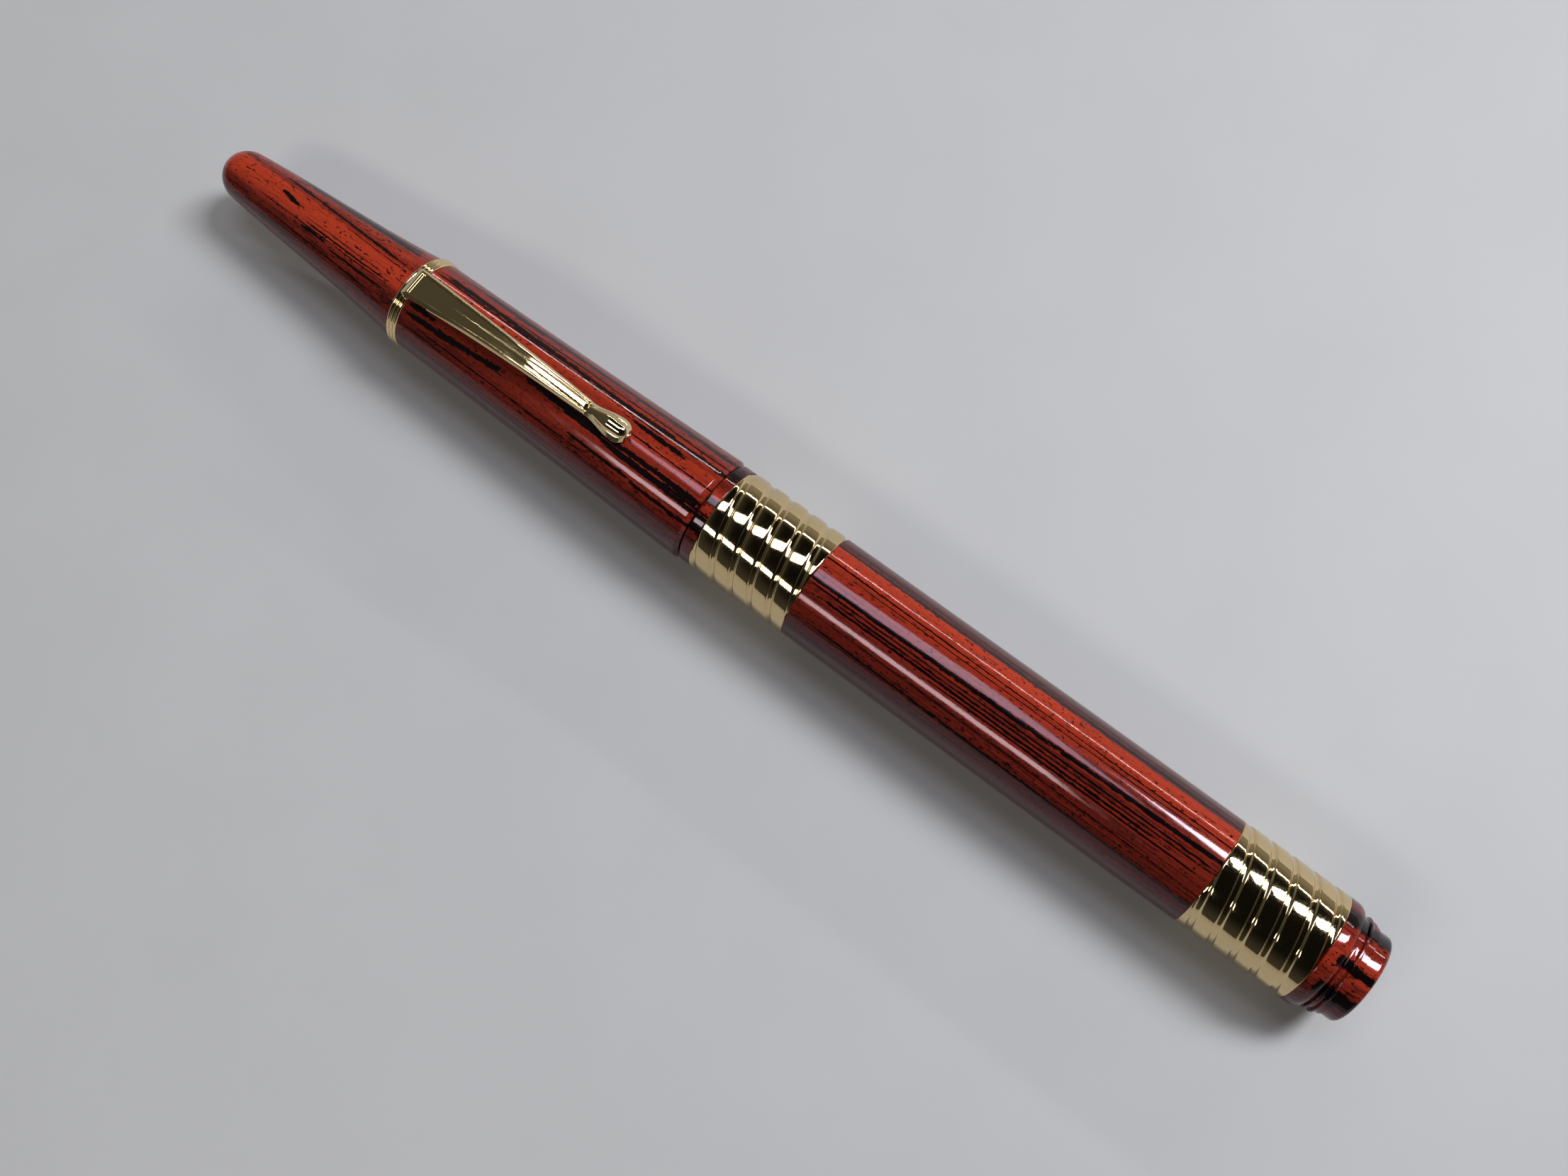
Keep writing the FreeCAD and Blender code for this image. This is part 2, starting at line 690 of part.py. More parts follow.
# Front rim of the head, across the end of the trough.
brow_sketch = new_sketch(clip, "brow_outline", "YZ_Plane")
brow_sketch.setExpression("AttachmentOffset.Base.z", "dims.clip_front")
outline(brow_sketch, [
    ("-clip_head_width", "saddle_radius - clip_edge * 3"),
    ("clip_head_width", "saddle_radius - clip_edge * 3"),
    ("clip_head_width", "brow_height - clip_edge"),
    ("clip_head_width - clip_edge", "brow_height"),
    ("-(clip_head_width - clip_edge)", "brow_height"),
    ("-clip_head_width", "brow_height - clip_edge"),
])
brow = clip.newObject("PartDesign::Pad", "brow")
brow.Profile = brow_sketch
brow.setExpression("Length", "dims.brow_length")
brow.Refine = False
doc.recompute()


def hollow(name, points):
    """Take away a solid of revolution about the pen's axis from the clip."""
    sketch = new_sketch(clip, name + "_outline")
    outline(sketch, points)
    cut = clip.newObject("PartDesign::Groove", name)
    cut.Profile = sketch
    cut.ReferenceAxis = (sketch, ["H_Axis"])
    cut.Angle = 360
    cut.Refine = False
    doc.recompute()


hollow("saddle", [
    ("clip_front - saddle_length", "axis"),
    ("clip_front - saddle_length", "saddle_radius"),
    ("clip_front + saddle_length", "saddle_radius"),
    ("clip_front + saddle_length", "axis"),
])

plate_sketch = new_sketch(clip, "drop_outline", "XY_Plane")
plate_sketch.setExpression("AttachmentOffset.Base.z", "dims.drop_plate_bottom")
outline(plate_sketch, [
    ("clip_front + drop_start", "-drop_neck",
     [("clip_front + drop_waist", "-drop_neck"), ("clip_front + drop_belly", "-drop_half_width")]),
    ("clip_front + drop_middle", "-drop_half_width", "drop_half_width", 1),
    ("clip_front + drop_middle + drop_half_width", "axis", "drop_half_width", 1),
    ("clip_front + drop_middle", "drop_half_width",
     [("clip_front + drop_belly", "drop_half_width"), ("clip_front + drop_waist", "drop_neck")]),
    ("clip_front + drop_start", "drop_neck"),
])
plate = clip.newObject("PartDesign::Pad", "drop_rim")
plate.Profile = plate_sketch
plate.setExpression("Length", "dims.drop_plate")
plate.Refine = False
doc.recompute()


def drop_turn(name, points):
    """Solid of revolution about the drop's own axis, parallel to the pen's."""
    sketch = new_sketch(clip, name + "_outline")
    sketch.setExpression("AttachmentOffset.Base.y", "dims.bulb_axis")
    outline(sketch, points)
    solid = clip.newObject("PartDesign::Revolution", name)
    solid.Profile = sketch
    solid.ReferenceAxis = (sketch, ["H_Axis"])
    solid.Angle = 360
    solid.Refine = False
    doc.recompute()


drop_turn("drop_bulb", [
    ("clip_front + bulb_start", "axis",
     [("clip_front + bulb_rise", "bulb_rise_radius"), ("clip_front + bulb_belly", "bulb_radius")]),
    ("clip_front + bulb_peak", "bulb_radius",
     [("clip_front + bulb_brow", "bulb_radius"), ("clip_front + bulb_end", "bulb_brow_radius")]),
    ("clip_front + bulb_end", "axis"),
])
drop_turn("drop_pip", [
    ("clip_front + pip_middle - pip_radius", "axis", "pip_radius", -1),
    ("clip_front + pip_middle", "pip_radius", "pip_radius", -1),
    ("clip_front + pip_middle + pip_radius", "axis"),
])


hollow("drop_underside", [
    ("clip_front + drop_start - saddle_length", "axis"),
    ("clip_front + drop_start - saddle_length", "bulb_flat"),
    ("pen_length / 2", "bulb_flat"),
    ("pen_length / 2", "axis"),
])

doc.recompute()

NODES = [
    "barrel_tube", "front_band", "front_collar", "rear_band", "tail_piece", "refill_spring",
    "grip_section", "nose_cone", "section_sleeve",
    "cap_finial", "clip_ring", "cap_tube", "inner_cap", "pocket_clip",
    "refill_tube", "refill_nose", "refill_point", "refill_plug", "ink_filler", "feed_wick",
    "writing_ball",
]

for item in doc.Objects:
    for state in ("Invalid", "Error"):
        if state in item.State:
            raise RuntimeError("%s is %s" % (item.Name, state))

os.makedirs("parts", exist_ok=True)
for name in NODES:
    body = doc.getObject(name)
    shape = body.Shape
    if shape.isNull() or not shape.isValid() or len(shape.Solids) != 1:
        raise RuntimeError("%s has no single valid solid" % name)
    shape.exportStep("parts/%s.step" % name)
    box = shape.BoundBox
    print("%-16s volume %9.3f mm3  x %8.3f to %8.3f  z %7.3f to %7.3f"
          % (name, shape.Volume, box.XMin, box.XMax, box.ZMin, box.ZMax))
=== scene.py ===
import json
import math

import bmesh
import bpy
from mathutils import Euler, Matrix, Vector


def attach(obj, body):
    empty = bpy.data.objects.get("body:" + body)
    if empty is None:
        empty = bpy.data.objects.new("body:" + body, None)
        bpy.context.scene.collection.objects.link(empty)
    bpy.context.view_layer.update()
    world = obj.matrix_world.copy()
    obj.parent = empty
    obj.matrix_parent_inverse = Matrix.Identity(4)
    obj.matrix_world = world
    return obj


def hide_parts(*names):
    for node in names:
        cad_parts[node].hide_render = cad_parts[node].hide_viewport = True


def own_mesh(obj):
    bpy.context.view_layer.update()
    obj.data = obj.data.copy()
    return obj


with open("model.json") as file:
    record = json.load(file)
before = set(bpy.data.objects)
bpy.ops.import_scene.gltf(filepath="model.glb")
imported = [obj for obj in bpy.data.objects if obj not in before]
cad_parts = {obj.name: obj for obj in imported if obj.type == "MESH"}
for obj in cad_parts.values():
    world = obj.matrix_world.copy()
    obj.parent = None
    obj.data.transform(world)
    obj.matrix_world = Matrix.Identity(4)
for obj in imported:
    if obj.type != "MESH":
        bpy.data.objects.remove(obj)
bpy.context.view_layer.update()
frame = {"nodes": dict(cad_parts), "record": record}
nodes = frame["nodes"]

# Lengths are in millimetres, and stations run along the pen from the tip of its crown.
MM = 0.001
HALF_LENGTH = 77.2
PEN_LENGTH = 154.4
AXIS_HEIGHT = 6.36
TURN = 2 * math.pi
ROUND = 192  # sides of a plain turned piece
FINE_ROUND = 360  # sides of a piece with beads, ribs or threads
GAP = 0.02  # clearance between pieces that are fixed together

# Stations where pieces begin and end, and the lengths of their parts.
CROWN_BACK = 29.5
CAP_FRONT = 30.9
TENON_BACK = 37.5
TENON_FLOOR = 32.1
LINER_FRONT = 37.68
LINER_SHOULDER = 52
CAP_THREAD_FRONT = 66.6
CAP_MOUTH = 71.9
COLLAR_FRONT = 72.1
GRIP_BACK = COLLAR_FRONT - 8.1
BAND_FRONT = 73.45
BAND_LENGTH = 12.6
PILOT_LENGTH = 8.5
BARREL_FRONT = 86.05
REAR_BAND_FRONT = 136.2
TAIL_FRONT = 148.8
PLUG_LENGTH = 9.5
TAIL_THREAD_FRONT = 150.7
TAIL_SHOULDER = TAIL_THREAD_FRONT - 1.1
END_WALL = 1.7
SPIGOT_FRONT = 152.65
LIP_LENGTH = 0.5
EDGE_ROUND = 0.55

# Radii.
CROWN_DOME = 3.08
CROWN_NECK = 5.4
TENON = 4.3
TENON_BORE = 2.7
RING_BORE = 4.32
CAP_NECK = 5.46
CAP_LIP = 6.36
LIP_FACE = 5.94
CAP_THREAD_BORE = 5.7
LINER_BORE = 5.25
LINER_NECK_BORE = 4.72
COLLAR_NOSE = 5.18
COLLAR_RIM = 6.18
COLLAR_BORE = 4.15
PILOT = 4.8
BAND_SEAT = 5.48
BAND_BORE = 5.5
BAND_EDGE = 6.0
BAND = 6.24
BARREL_END = 6.2
BARREL_SWELL = 6.265
BARREL_BORE = 3.5
TAIL_RIM = 6.22
TAIL_NECK = 5.6
PLUG = 4.5
SPIGOT = 5.1

# Ribs on the bands.
RIB_PITCH = BAND_LENGTH / 5
RIB_STARTS = 3
VALLEY_HALF = 0.2
VALLEY_FLANK = 0.26
VALLEY_DEPTH = 0.18
RIB_CROWN = 0.02
BAND_ROUND = 0.16
BAND_ROUND_DEPTH = 0.6

# Threads.
THREAD_ROOT = 5.3
THREAD_CREST = 5.65
THREAD_PITCH = 0.72
THREAD_FLAT = 0.07
THREAD_FOOT = 0.25
RUN_OUT = 0.06
RUN_IN = 0.1
COLLAR_THREAD = 4.3
COLLAR_RELIEF = 0.45
COLLAR_TURNS = 5
TAIL_LEAD = 0.27
TAIL_TURNS = 1.8

# Rounded corners: how much of a side one may take, and how far out its guard rows lie.
CORNER_SHARE = 0.45
GUARD = 0.12


# ---------------------------------------------------------------- meshes
def point(station, across, height):
    """A place in the frame from a station, a distance across and a height above the axis."""
    return ((station - HALF_LENGTH) * MM, across * MM, (AXIS_HEIGHT + height) * MM)


def finish_mesh(name, verts, faces, sharp=50):
    """Object with outward faces, smooth but for the edges sharper than an angle in degrees."""
    mesh = bpy.data.meshes.new(name)
    mesh.from_pydata(verts, [], faces)
    work = bmesh.new()
    work.from_mesh(mesh)
    bmesh.ops.recalc_face_normals(work, faces=work.faces)
    work.to_mesh(mesh)
    work.free()
    mesh.shade_smooth()
    mesh.set_sharp_from_angle(angle=math.radians(sharp))
    piece = bpy.data.objects.new(name, mesh)
    bpy.context.scene.collection.objects.link(piece)
    return piece


def turned(name, rows, segments=ROUND):
    """Closed piece turned about the pen's axis. Each row is a station and a radius, which is
    a number, or a function of the angle that runs from +Z towards +Y."""
    verts, rings = [], []
    for station, radius in rows:
        if radius == 0:
            rings.append([len(verts)])
            verts.append(point(station, 0, 0))
            continue
        ring = []
        for k in range(segments):
            angle = TURN * k / segments
            r = radius(angle) if callable(radius) else radius
            ring.append(len(verts))
            verts.append(point(station, r * math.sin(angle), r * math.cos(angle)))
        rings.append(ring)
    faces = []
    for i, ring in enumerate(rings):
        following = rings[(i + 1) % len(rings)]
        if len(ring) == 1 and len(following) == 1:
            continue
        for k in range(segments):
            j = (k + 1) % segments
            if len(ring) == 1:
                faces.append((ring[0], following[k], following[j]))
            elif len(following) == 1:
                faces.append((ring[k], ring[j], following[0]))
            else:
                faces.append((ring[k], ring[j], following[j], following[k]))
    return finish_mesh(name, verts, faces)


def soften(corners, steps=5):
    """Rows through (station, radius, rounding) corners. A rounded corner also gets a row just
    before and after it, so that the shading of its neighbours stays flat."""
    rows = []
    count = len(corners)
    for i, (x, r, *rounding) in enumerate(corners):
        if not rounding:
            rows.append((x, r))
            continue
        here = Vector((x, r))
        back = Vector(corners[i - 1][:2]) - here
        ahead = Vector(corners[(i + 1) % count][:2]) - here
        reach = min(rounding[0], back.length * CORNER_SHARE, ahead.length * CORNER_SHARE)
        start, stop = here + back.normalized() * reach, here + ahead.normalized() * reach
        rows.append(tuple(start + back.normalized() * reach * GUARD))
        for step in range(steps + 1):
            t = step / steps
            rows.append(tuple(start * (1 - t) ** 2 + here * 2 * t * (1 - t) + stop * t ** 2))
        rows.append(tuple(stop + ahead.normalized() * reach * GUARD))
    return rows


def cubic(start, first, second, stop, count):
    """Points inside a cubic curve between two (station, radius) ends, without the ends."""
    points = []
    for k in range(1, count):
        t = k / count
        a, b, c, d = (1 - t) ** 3, 3 * t * (1 - t) ** 2, 3 * t * t * (1 - t), t ** 3
        points.append((a * start[0] + b * first[0] + c * second[0] + d * stop[0],
                       a * start[1] + b * first[1] + c * second[1] + d * stop[1]))
    return points


def arc(centre, radius, from_deg, to_deg, count):
    """Points on an arc in the station and radius plane; 0 degrees points along the pen."""
    points = []
    for k in range(count + 1):
        angle = math.radians(from_deg + (to_deg - from_deg) * k / count)
        points.append((centre[0] + radius * math.cos(angle), centre[1] + radius * math.sin(angle)))
    return points


def smooth_step(low, high, value):
    t = min(max((value - low) / (high - low), 0.0), 1.0)
    return t * t * (3 - 2 * t)


def spread(low, high, step):
    """Even values from low to high, about a step apart."""
    count = max(1, round((high - low) / step))
    return [low + (high - low) * k / count for k in range(count + 1)]


def threaded(start, turns):
    """Radius of a right-hand thread, as a function of station and angle."""
    def surface(station):
        def radius(angle):
            phase = (station - start) / THREAD_PITCH + angle / TURN
            index = round(phase)
            along = index - angle / TURN
            fade = smooth_step(-RUN_OUT, RUN_IN, along)
            fade *= 1 - smooth_step(turns - RUN_IN, turns + RUN_OUT, along)
            off = abs(phase - index) * THREAD_PITCH
            ridge = 1 - smooth_step(THREAD_FLAT, THREAD_FOOT, off)
            return THREAD_ROOT + (THREAD_CREST - THREAD_ROOT) * fade * ridge
        return radius
    return surface


pieces = {}

# Crown: dome, long taper, hollow tenon inside the ring.
pieces["crown"] = turned("crown", soften(
    [(0, 0)] + arc((CROWN_DOME, 0), CROWN_DOME, 178, 97, 16)
    + cubic((2.77, 3.064), (11.67, 4.02), (20.6, 4.154), (CROWN_BACK, CROWN_NECK), 24)
    + [(CROWN_BACK, CROWN_NECK, 0.14), (CROWN_BACK, TENON), (TENON_BACK, TENON, 0.2),
       (TENON_BACK, TENON_BORE, 0.1), (TENON_FLOOR, TENON_BORE), (TENON_FLOOR, 0)]))

# Clip ring: three rounded beads side by side.
BEADS = 3
BEAD = (CAP_FRONT - CROWN_BACK) / BEADS
ring_rows = [(CROWN_BACK, RING_BORE), (CROWN_BACK, CROWN_NECK)]
for k in range(BEADS):
    ring_rows += arc((CROWN_BACK + BEAD * (k + 0.5), CROWN_NECK), BEAD / 2, 172, 8, 10)
ring_rows += [(CAP_FRONT, CROWN_NECK), (CAP_FRONT, RING_BORE)]
pieces["ring"] = turned("ring", ring_rows, FINE_ROUND)

# Cap tube. Its bore narrows in steps: for the thread, the liner, its neck and the crown's tenon.
lip_front = CAP_MOUTH - LIP_LENGTH
pieces["cap_shell"] = turned("cap_shell", soften(
    [(CAP_FRONT, RING_BORE), (CAP_FRONT, CAP_NECK, 0.1)]
    + cubic((CAP_FRONT, CAP_NECK), (44.2, 5.69), (58.6, 6.005), (lip_front, CAP_LIP), 24)
    + [(lip_front, CAP_LIP, 0.12), (CAP_MOUTH, LIP_FACE, 0.1), (CAP_MOUTH, CAP_THREAD_BORE, 0.1),
       (CAP_THREAD_FRONT, CAP_THREAD_BORE), (CAP_THREAD_FRONT, LINER_BORE),
       (LINER_SHOULDER, LINER_BORE), (LINER_SHOULDER, LINER_NECK_BORE),
       (LINER_FRONT, LINER_NECK_BORE), (LINER_FRONT, RING_BORE)]))

# Collar with the cap thread.
collar_thread = threaded(COLLAR_FRONT - COLLAR_THREAD, COLLAR_TURNS)
thread_front = COLLAR_FRONT - COLLAR_RELIEF - COLLAR_THREAD
pilot_back = BAND_FRONT + PILOT_LENGTH
pieces["collar"] = turned("collar", soften(
    [(GRIP_BACK + GAP, COLLAR_BORE), (GRIP_BACK + GAP, COLLAR_NOSE, 0.24),
     (thread_front, COLLAR_NOSE), (thread_front, THREAD_ROOT)])
    + [(x, collar_thread(x)) for x in spread(thread_front + 0.01, COLLAR_FRONT - 0.01, 0.06)]
    + soften([(COLLAR_FRONT, THREAD_ROOT), (COLLAR_FRONT, COLLAR_RIM, 0.16),
              (BAND_FRONT, COLLAR_RIM, 0.1), (BAND_FRONT, PILOT), (pilot_back, PILOT),
              (pilot_back, COLLAR_BORE)]), FINE_ROUND)

# Barrel, reduced at both ends under the bands.
barrel_rise = cubic((BARREL_FRONT, BARREL_END), (BARREL_FRONT + 16, BARREL_SWELL),
                    (REAR_BAND_FRONT - 16, BARREL_SWELL), (REAR_BAND_FRONT, BARREL_END), 24)
pilot_seat = pilot_back + GAP
plug_seat = TAIL_FRONT - PLUG_LENGTH - GAP
pieces["barrel_shell"] = turned("barrel_shell", soften(
    [(BAND_FRONT, PILOT + GAP), (BAND_FRONT, BAND_SEAT), (BARREL_FRONT, BAND_SEAT),
     (BARREL_FRONT, BARREL_END, 0.12)] + barrel_rise
    + [(REAR_BAND_FRONT, BARREL_END, 0.12), (REAR_BAND_FRONT, BAND_SEAT), (TAIL_FRONT, BAND_SEAT),
       (TAIL_FRONT, PLUG + GAP), (plug_seat, PLUG + GAP), (plug_seat, BARREL_BORE),
       (pilot_seat, BARREL_BORE), (pilot_seat, PILOT + GAP)]))

# Tail: rounded collar, posting thread, spigot.
tail_thread = threaded(TAIL_THREAD_FRONT + TAIL_LEAD, TAIL_TURNS)
edge_front = PEN_LENGTH - EDGE_ROUND
pieces["tail"] = turned("tail", soften(
    [(TAIL_FRONT - PLUG_LENGTH, BARREL_BORE), (TAIL_FRONT - PLUG_LENGTH, PLUG), (TAIL_FRONT, PLUG),
     (TAIL_FRONT, TAIL_RIM, 0.1), (TAIL_SHOULDER, TAIL_RIM)]
    + cubic((TAIL_SHOULDER, TAIL_RIM), (TAIL_THREAD_FRONT - 0.6, 6.2),
            (TAIL_THREAD_FRONT - 0.12, 5.98), (TAIL_THREAD_FRONT, TAIL_NECK), 10)
    + [(TAIL_THREAD_FRONT, TAIL_NECK, 0.06), (TAIL_THREAD_FRONT, THREAD_ROOT)])
    + [(x, tail_thread(x)) for x in spread(TAIL_THREAD_FRONT + 0.01, SPIGOT_FRONT - 0.01, 0.05)]
    + soften([(SPIGOT_FRONT, THREAD_ROOT, 0.04), (SPIGOT_FRONT, SPIGOT), (edge_front, SPIGOT)]
             + arc((edge_front, SPIGOT - EDGE_ROUND), EDGE_ROUND, 81, 9, 8)
             + [(PEN_LENGTH, SPIGOT - EDGE_ROUND), (PEN_LENGTH, 4.2), (PEN_LENGTH, 0),
                (PEN_LENGTH - END_WALL, 0), (PEN_LENGTH - END_WALL, BARREL_BORE)]), FINE_ROUND)


def ribbed_band(name, front, first_groove):
    """Band with three right-hand helical valleys between broad polished ribs."""
    land = RIB_PITCH / 2 - VALLEY_HALF - VALLEY_FLANK
    back = front + BAND_LENGTH

    def surface(station):
        inset = BAND_ROUND - min(station - front, back - station, BAND_ROUND)
        lip = BAND_ROUND - math.sqrt(max(BAND_ROUND ** 2 - inset ** 2, 0))

        def radius(angle):
            phase = (station - front - first_groove) / RIB_PITCH + angle * RIB_STARTS / TURN
            off = abs(phase - round(phase)) * RIB_PITCH
            rib = smooth_step(VALLEY_HALF, VALLEY_HALF + VALLEY_FLANK, off)
            swell = RIB_CROWN * (min(abs(off - RIB_PITCH / 2) / land, 1)) ** 2
            return BAND - VALLEY_DEPTH * (1 - rib) - swell - lip * BAND_ROUND_DEPTH
        return radius

    near_edge = (0, 0.01, 0.03, 0.07, 0.12)
    stations = [front + x for x in near_edge]
    stations += [front + x for x in spread(0.17, BAND_LENGTH - 0.17, 0.07)]
    stations += [back - x for x in reversed(near_edge)]
    rows = [(x, surface(x)) for x in stations]
    return turned(name, [(front, BAND_BORE), (front, BAND_EDGE)] + rows
                  + [(back, BAND_EDGE), (back, BAND_BORE)], FINE_ROUND)


pieces["band_fore"] = ribbed_band("band_fore", BAND_FRONT, 1.52)
pieces["band_aft"] = ribbed_band("band_aft", REAR_BAND_FRONT, 2.17)

# Clip. Stations here are measured from its own front edge, and heights from the pen's axis.
CLIP_FRONT = CROWN_BACK + 0.9
# Station, half width, underside, crest, bevel, flat, trough depth, ridge half width, ridge rise.
CLIP_KEYS = [
    (0.0, 1.88, 5.2, 6.88, 0.30, 0.16, 0.24, 0.10, 0.0),
    (3.6, 1.72, 6.15, 7.30, 0.29, 0.15, 0.26, 0.10, 0.0),
    (8.0, 1.50, 6.5, 7.62, 0.27, 0.13, 0.22, 0.12, 0.06),
    (11.4, 1.36, 6.62, 7.76, 0.26, 0.12, 0.21, 0.21, 0.12),
    (15.0, 1.22, 6.64, 7.77, 0.26, 0.10, 0.20, 0.26, 0.13),
    (18.4, 1.12, 6.6, 7.67, 0.26, 0.08, 0.12, 0.40, 0.13),
    (22.0, 1.0, 6.48, 7.37, 0.25, 0.06, 0.17, 0.50, 0.18),
    (24.6, 0.89, 6.38, 7.07, 0.24, 0.05, 0.15, 0.46, 0.15),
    (26.2, 0.84, 6.36, 6.85, 0.24, 0.05, 0.06, 0.4, 0.05),
]
BEVEL_FALL = 0.33
RIDGE_SLOPE = 0.62
TROUGH_WALL = 0.13
BROW = 0.62  # length of the slope at the front edge
CORNER, CORNER_INSET = 0.5, 0.3  # rounding of the front corners in plan
BORDER = 0.68  # width beside each edge that gets the close rows
THIN_EDGE = 0.02  # least height of the side walls

# The drop at the rear end: a flat flange with a bulb on it, and a small bead at its tip.
DROP_START, DROP_MIDDLE, DROP_HALF, DROP_NECK = 25.25, 29.43, 1.42, 0.85
CLIP_END = DROP_MIDDLE + DROP_HALF
BAR_END = DROP_START - 0.6
FLANGE, FLANGE_FALL, FLANGE_BEVEL = 6.88, 0.5, 0.42
BULB_CENTRE, BULB_NECK, BULB_RISE = 6.6, 0.3, 0.68
BULB_PEAK, BULB_TAPER, BULB_ROUND, BULB_END = 28.2, 0.045, 29.7, 1.05
BLEND = 0.06
TIP_BEAD, TIP_INSET = 0.28, 0.1
GROOVE_DEPTH, GROOVE_HALF = 0.14, 0.15

# The underside: a saddle on the ring in front, a bar in the air, and a foot along the cap.
SADDLE, SADDLE_BACK, SADDLE_BLEND = 5.73, 2.4, 3.0
FOOT, FOOT_FRONT = 6.24, DROP_START - 2.4
DROP_UNDERSIDE = 6.3


def along_keys(station):
    """Values of the clip's section at a station, by a smooth curve through the keys."""
    keys = CLIP_KEYS
    station = min(station, keys[-1][0])
    i = max(k for k in range(len(keys) - 1) if keys[k][0] <= station)
    x0, x1 = keys[i][0], keys[i + 1][0]
    t = (station - x0) / (x1 - x0)
    values = []
    for c in range(1, len(keys[0])):
        y0, y1 = keys[i][c], keys[i + 1][c]
        before = after = rate = (y1 - y0) / (x1 - x0)
        if i > 0:
            before = (rate + (y0 - keys[i - 1][c]) / (x0 - keys[i - 1][0])) / 2
        if i < len(keys) - 2:
            after = (rate + (keys[i + 2][c] - y1) / (keys[i + 2][0] - x1)) / 2
        a, b = before * (x1 - x0), after * (x1 - x0)
        bend = 3 * (y1 - y0) - 2 * a - b
        values.append(y0 + t * (a + t * (bend + t * (a + b - 2 * (y1 - y0)))))
    return values


def drop_half_width(station):
    if station >= DROP_MIDDLE:
        return math.sqrt(max(DROP_HALF ** 2 - (station - DROP_MIDDLE) ** 2, 0))
    t = (station - DROP_START) / (DROP_MIDDLE - DROP_START)
    return DROP_NECK + (DROP_HALF - DROP_NECK) * smooth_step(0.04, 0.92, t)


def clip_half_width(station):
    width = along_keys(station)[0]
    if station < CORNER:
        width -= CORNER_INSET * (1 - math.sqrt(1 - (1 - station / CORNER) ** 2))
    if station > BAR_END:
        mix = smooth_step(BAR_END, DROP_START + 0.5, station)
        width = width * (1 - mix) + drop_half_width(max(station, DROP_START)) * mix
    return width


def smooth_max(a, b):
    h = max(BLEND - abs(a - b), 0) / BLEND
    return max(a, b) + h * h * BLEND / 4


def bulb_radius(station):
    """Radius of the drop's bulb: a rise, a gentle fall, a round end."""
    if station < BULB_PEAK:
        return BULB_NECK + BULB_RISE * smooth_step(BULB_PEAK - 3.6, BULB_PEAK + 0.2, station)
    gentle = BULB_NECK + BULB_RISE - BULB_TAPER * (station - BULB_PEAK)
    if station < BULB_ROUND:
        return gentle
    return gentle * math.sqrt(max(1 - ((station - BULB_ROUND) / BULB_END) ** 2, 0))


def clip_top(station, across, half_width):
    """Height of the clip's upper face: bevelled rims, a trough and a ridge, then the drop."""
    crest, bevel, flat, trough, ridge_half, ridge_rise = along_keys(station)[2:]
    edge = max(half_width - abs(across), 0)
    near = min(edge, station * bevel / BROW)
    bar = crest - BEVEL_FALL * max(1 - near / bevel, 0) ** 1.05
    inner = min(edge - bevel - flat, station - BROW - flat)
    bar -= trough * smooth_step(0, TROUGH_WALL, inner)
    bar += max(min(ridge_rise, RIDGE_SLOPE * (ridge_half - abs(across))), 0)
    if station < DROP_START - 0.4:
        return bar
    drop = FLANGE - FLANGE_FALL * max(1 - edge / FLANGE_BEVEL, 0)
    bulge = bulb_radius(station)
    if abs(across) < bulge:
        drop = smooth_max(drop, BULB_CENTRE + math.sqrt(bulge ** 2 - across ** 2))
    if station > CLIP_END - 0.4:
        tip = TIP_BEAD ** 2 - across ** 2 - (station - CLIP_END + TIP_INSET) ** 2
        if tip > 0:
            drop = max(drop, BULB_CENTRE + math.sqrt(tip))
    groove = GROOVE_DEPTH * math.exp(-((station - DROP_START) / GROOVE_HALF) ** 2)
    mix = smooth_step(DROP_START - 0.15, DROP_START + 0.25, station)
    return bar * (1 - mix) + drop * mix - groove


def clip_bottom(station, across):
    under = along_keys(station)[1]
    saddle = math.sqrt(SADDLE ** 2 - across ** 2)
    if station < SADDLE_BACK:
        return saddle
    if station < SADDLE_BLEND:
        return max(under, saddle)
    if station > FOOT_FRONT:
        low = under if station < DROP_START + 1 else DROP_UNDERSIDE
        return max(low, math.sqrt(FOOT ** 2 - across ** 2))
    return under


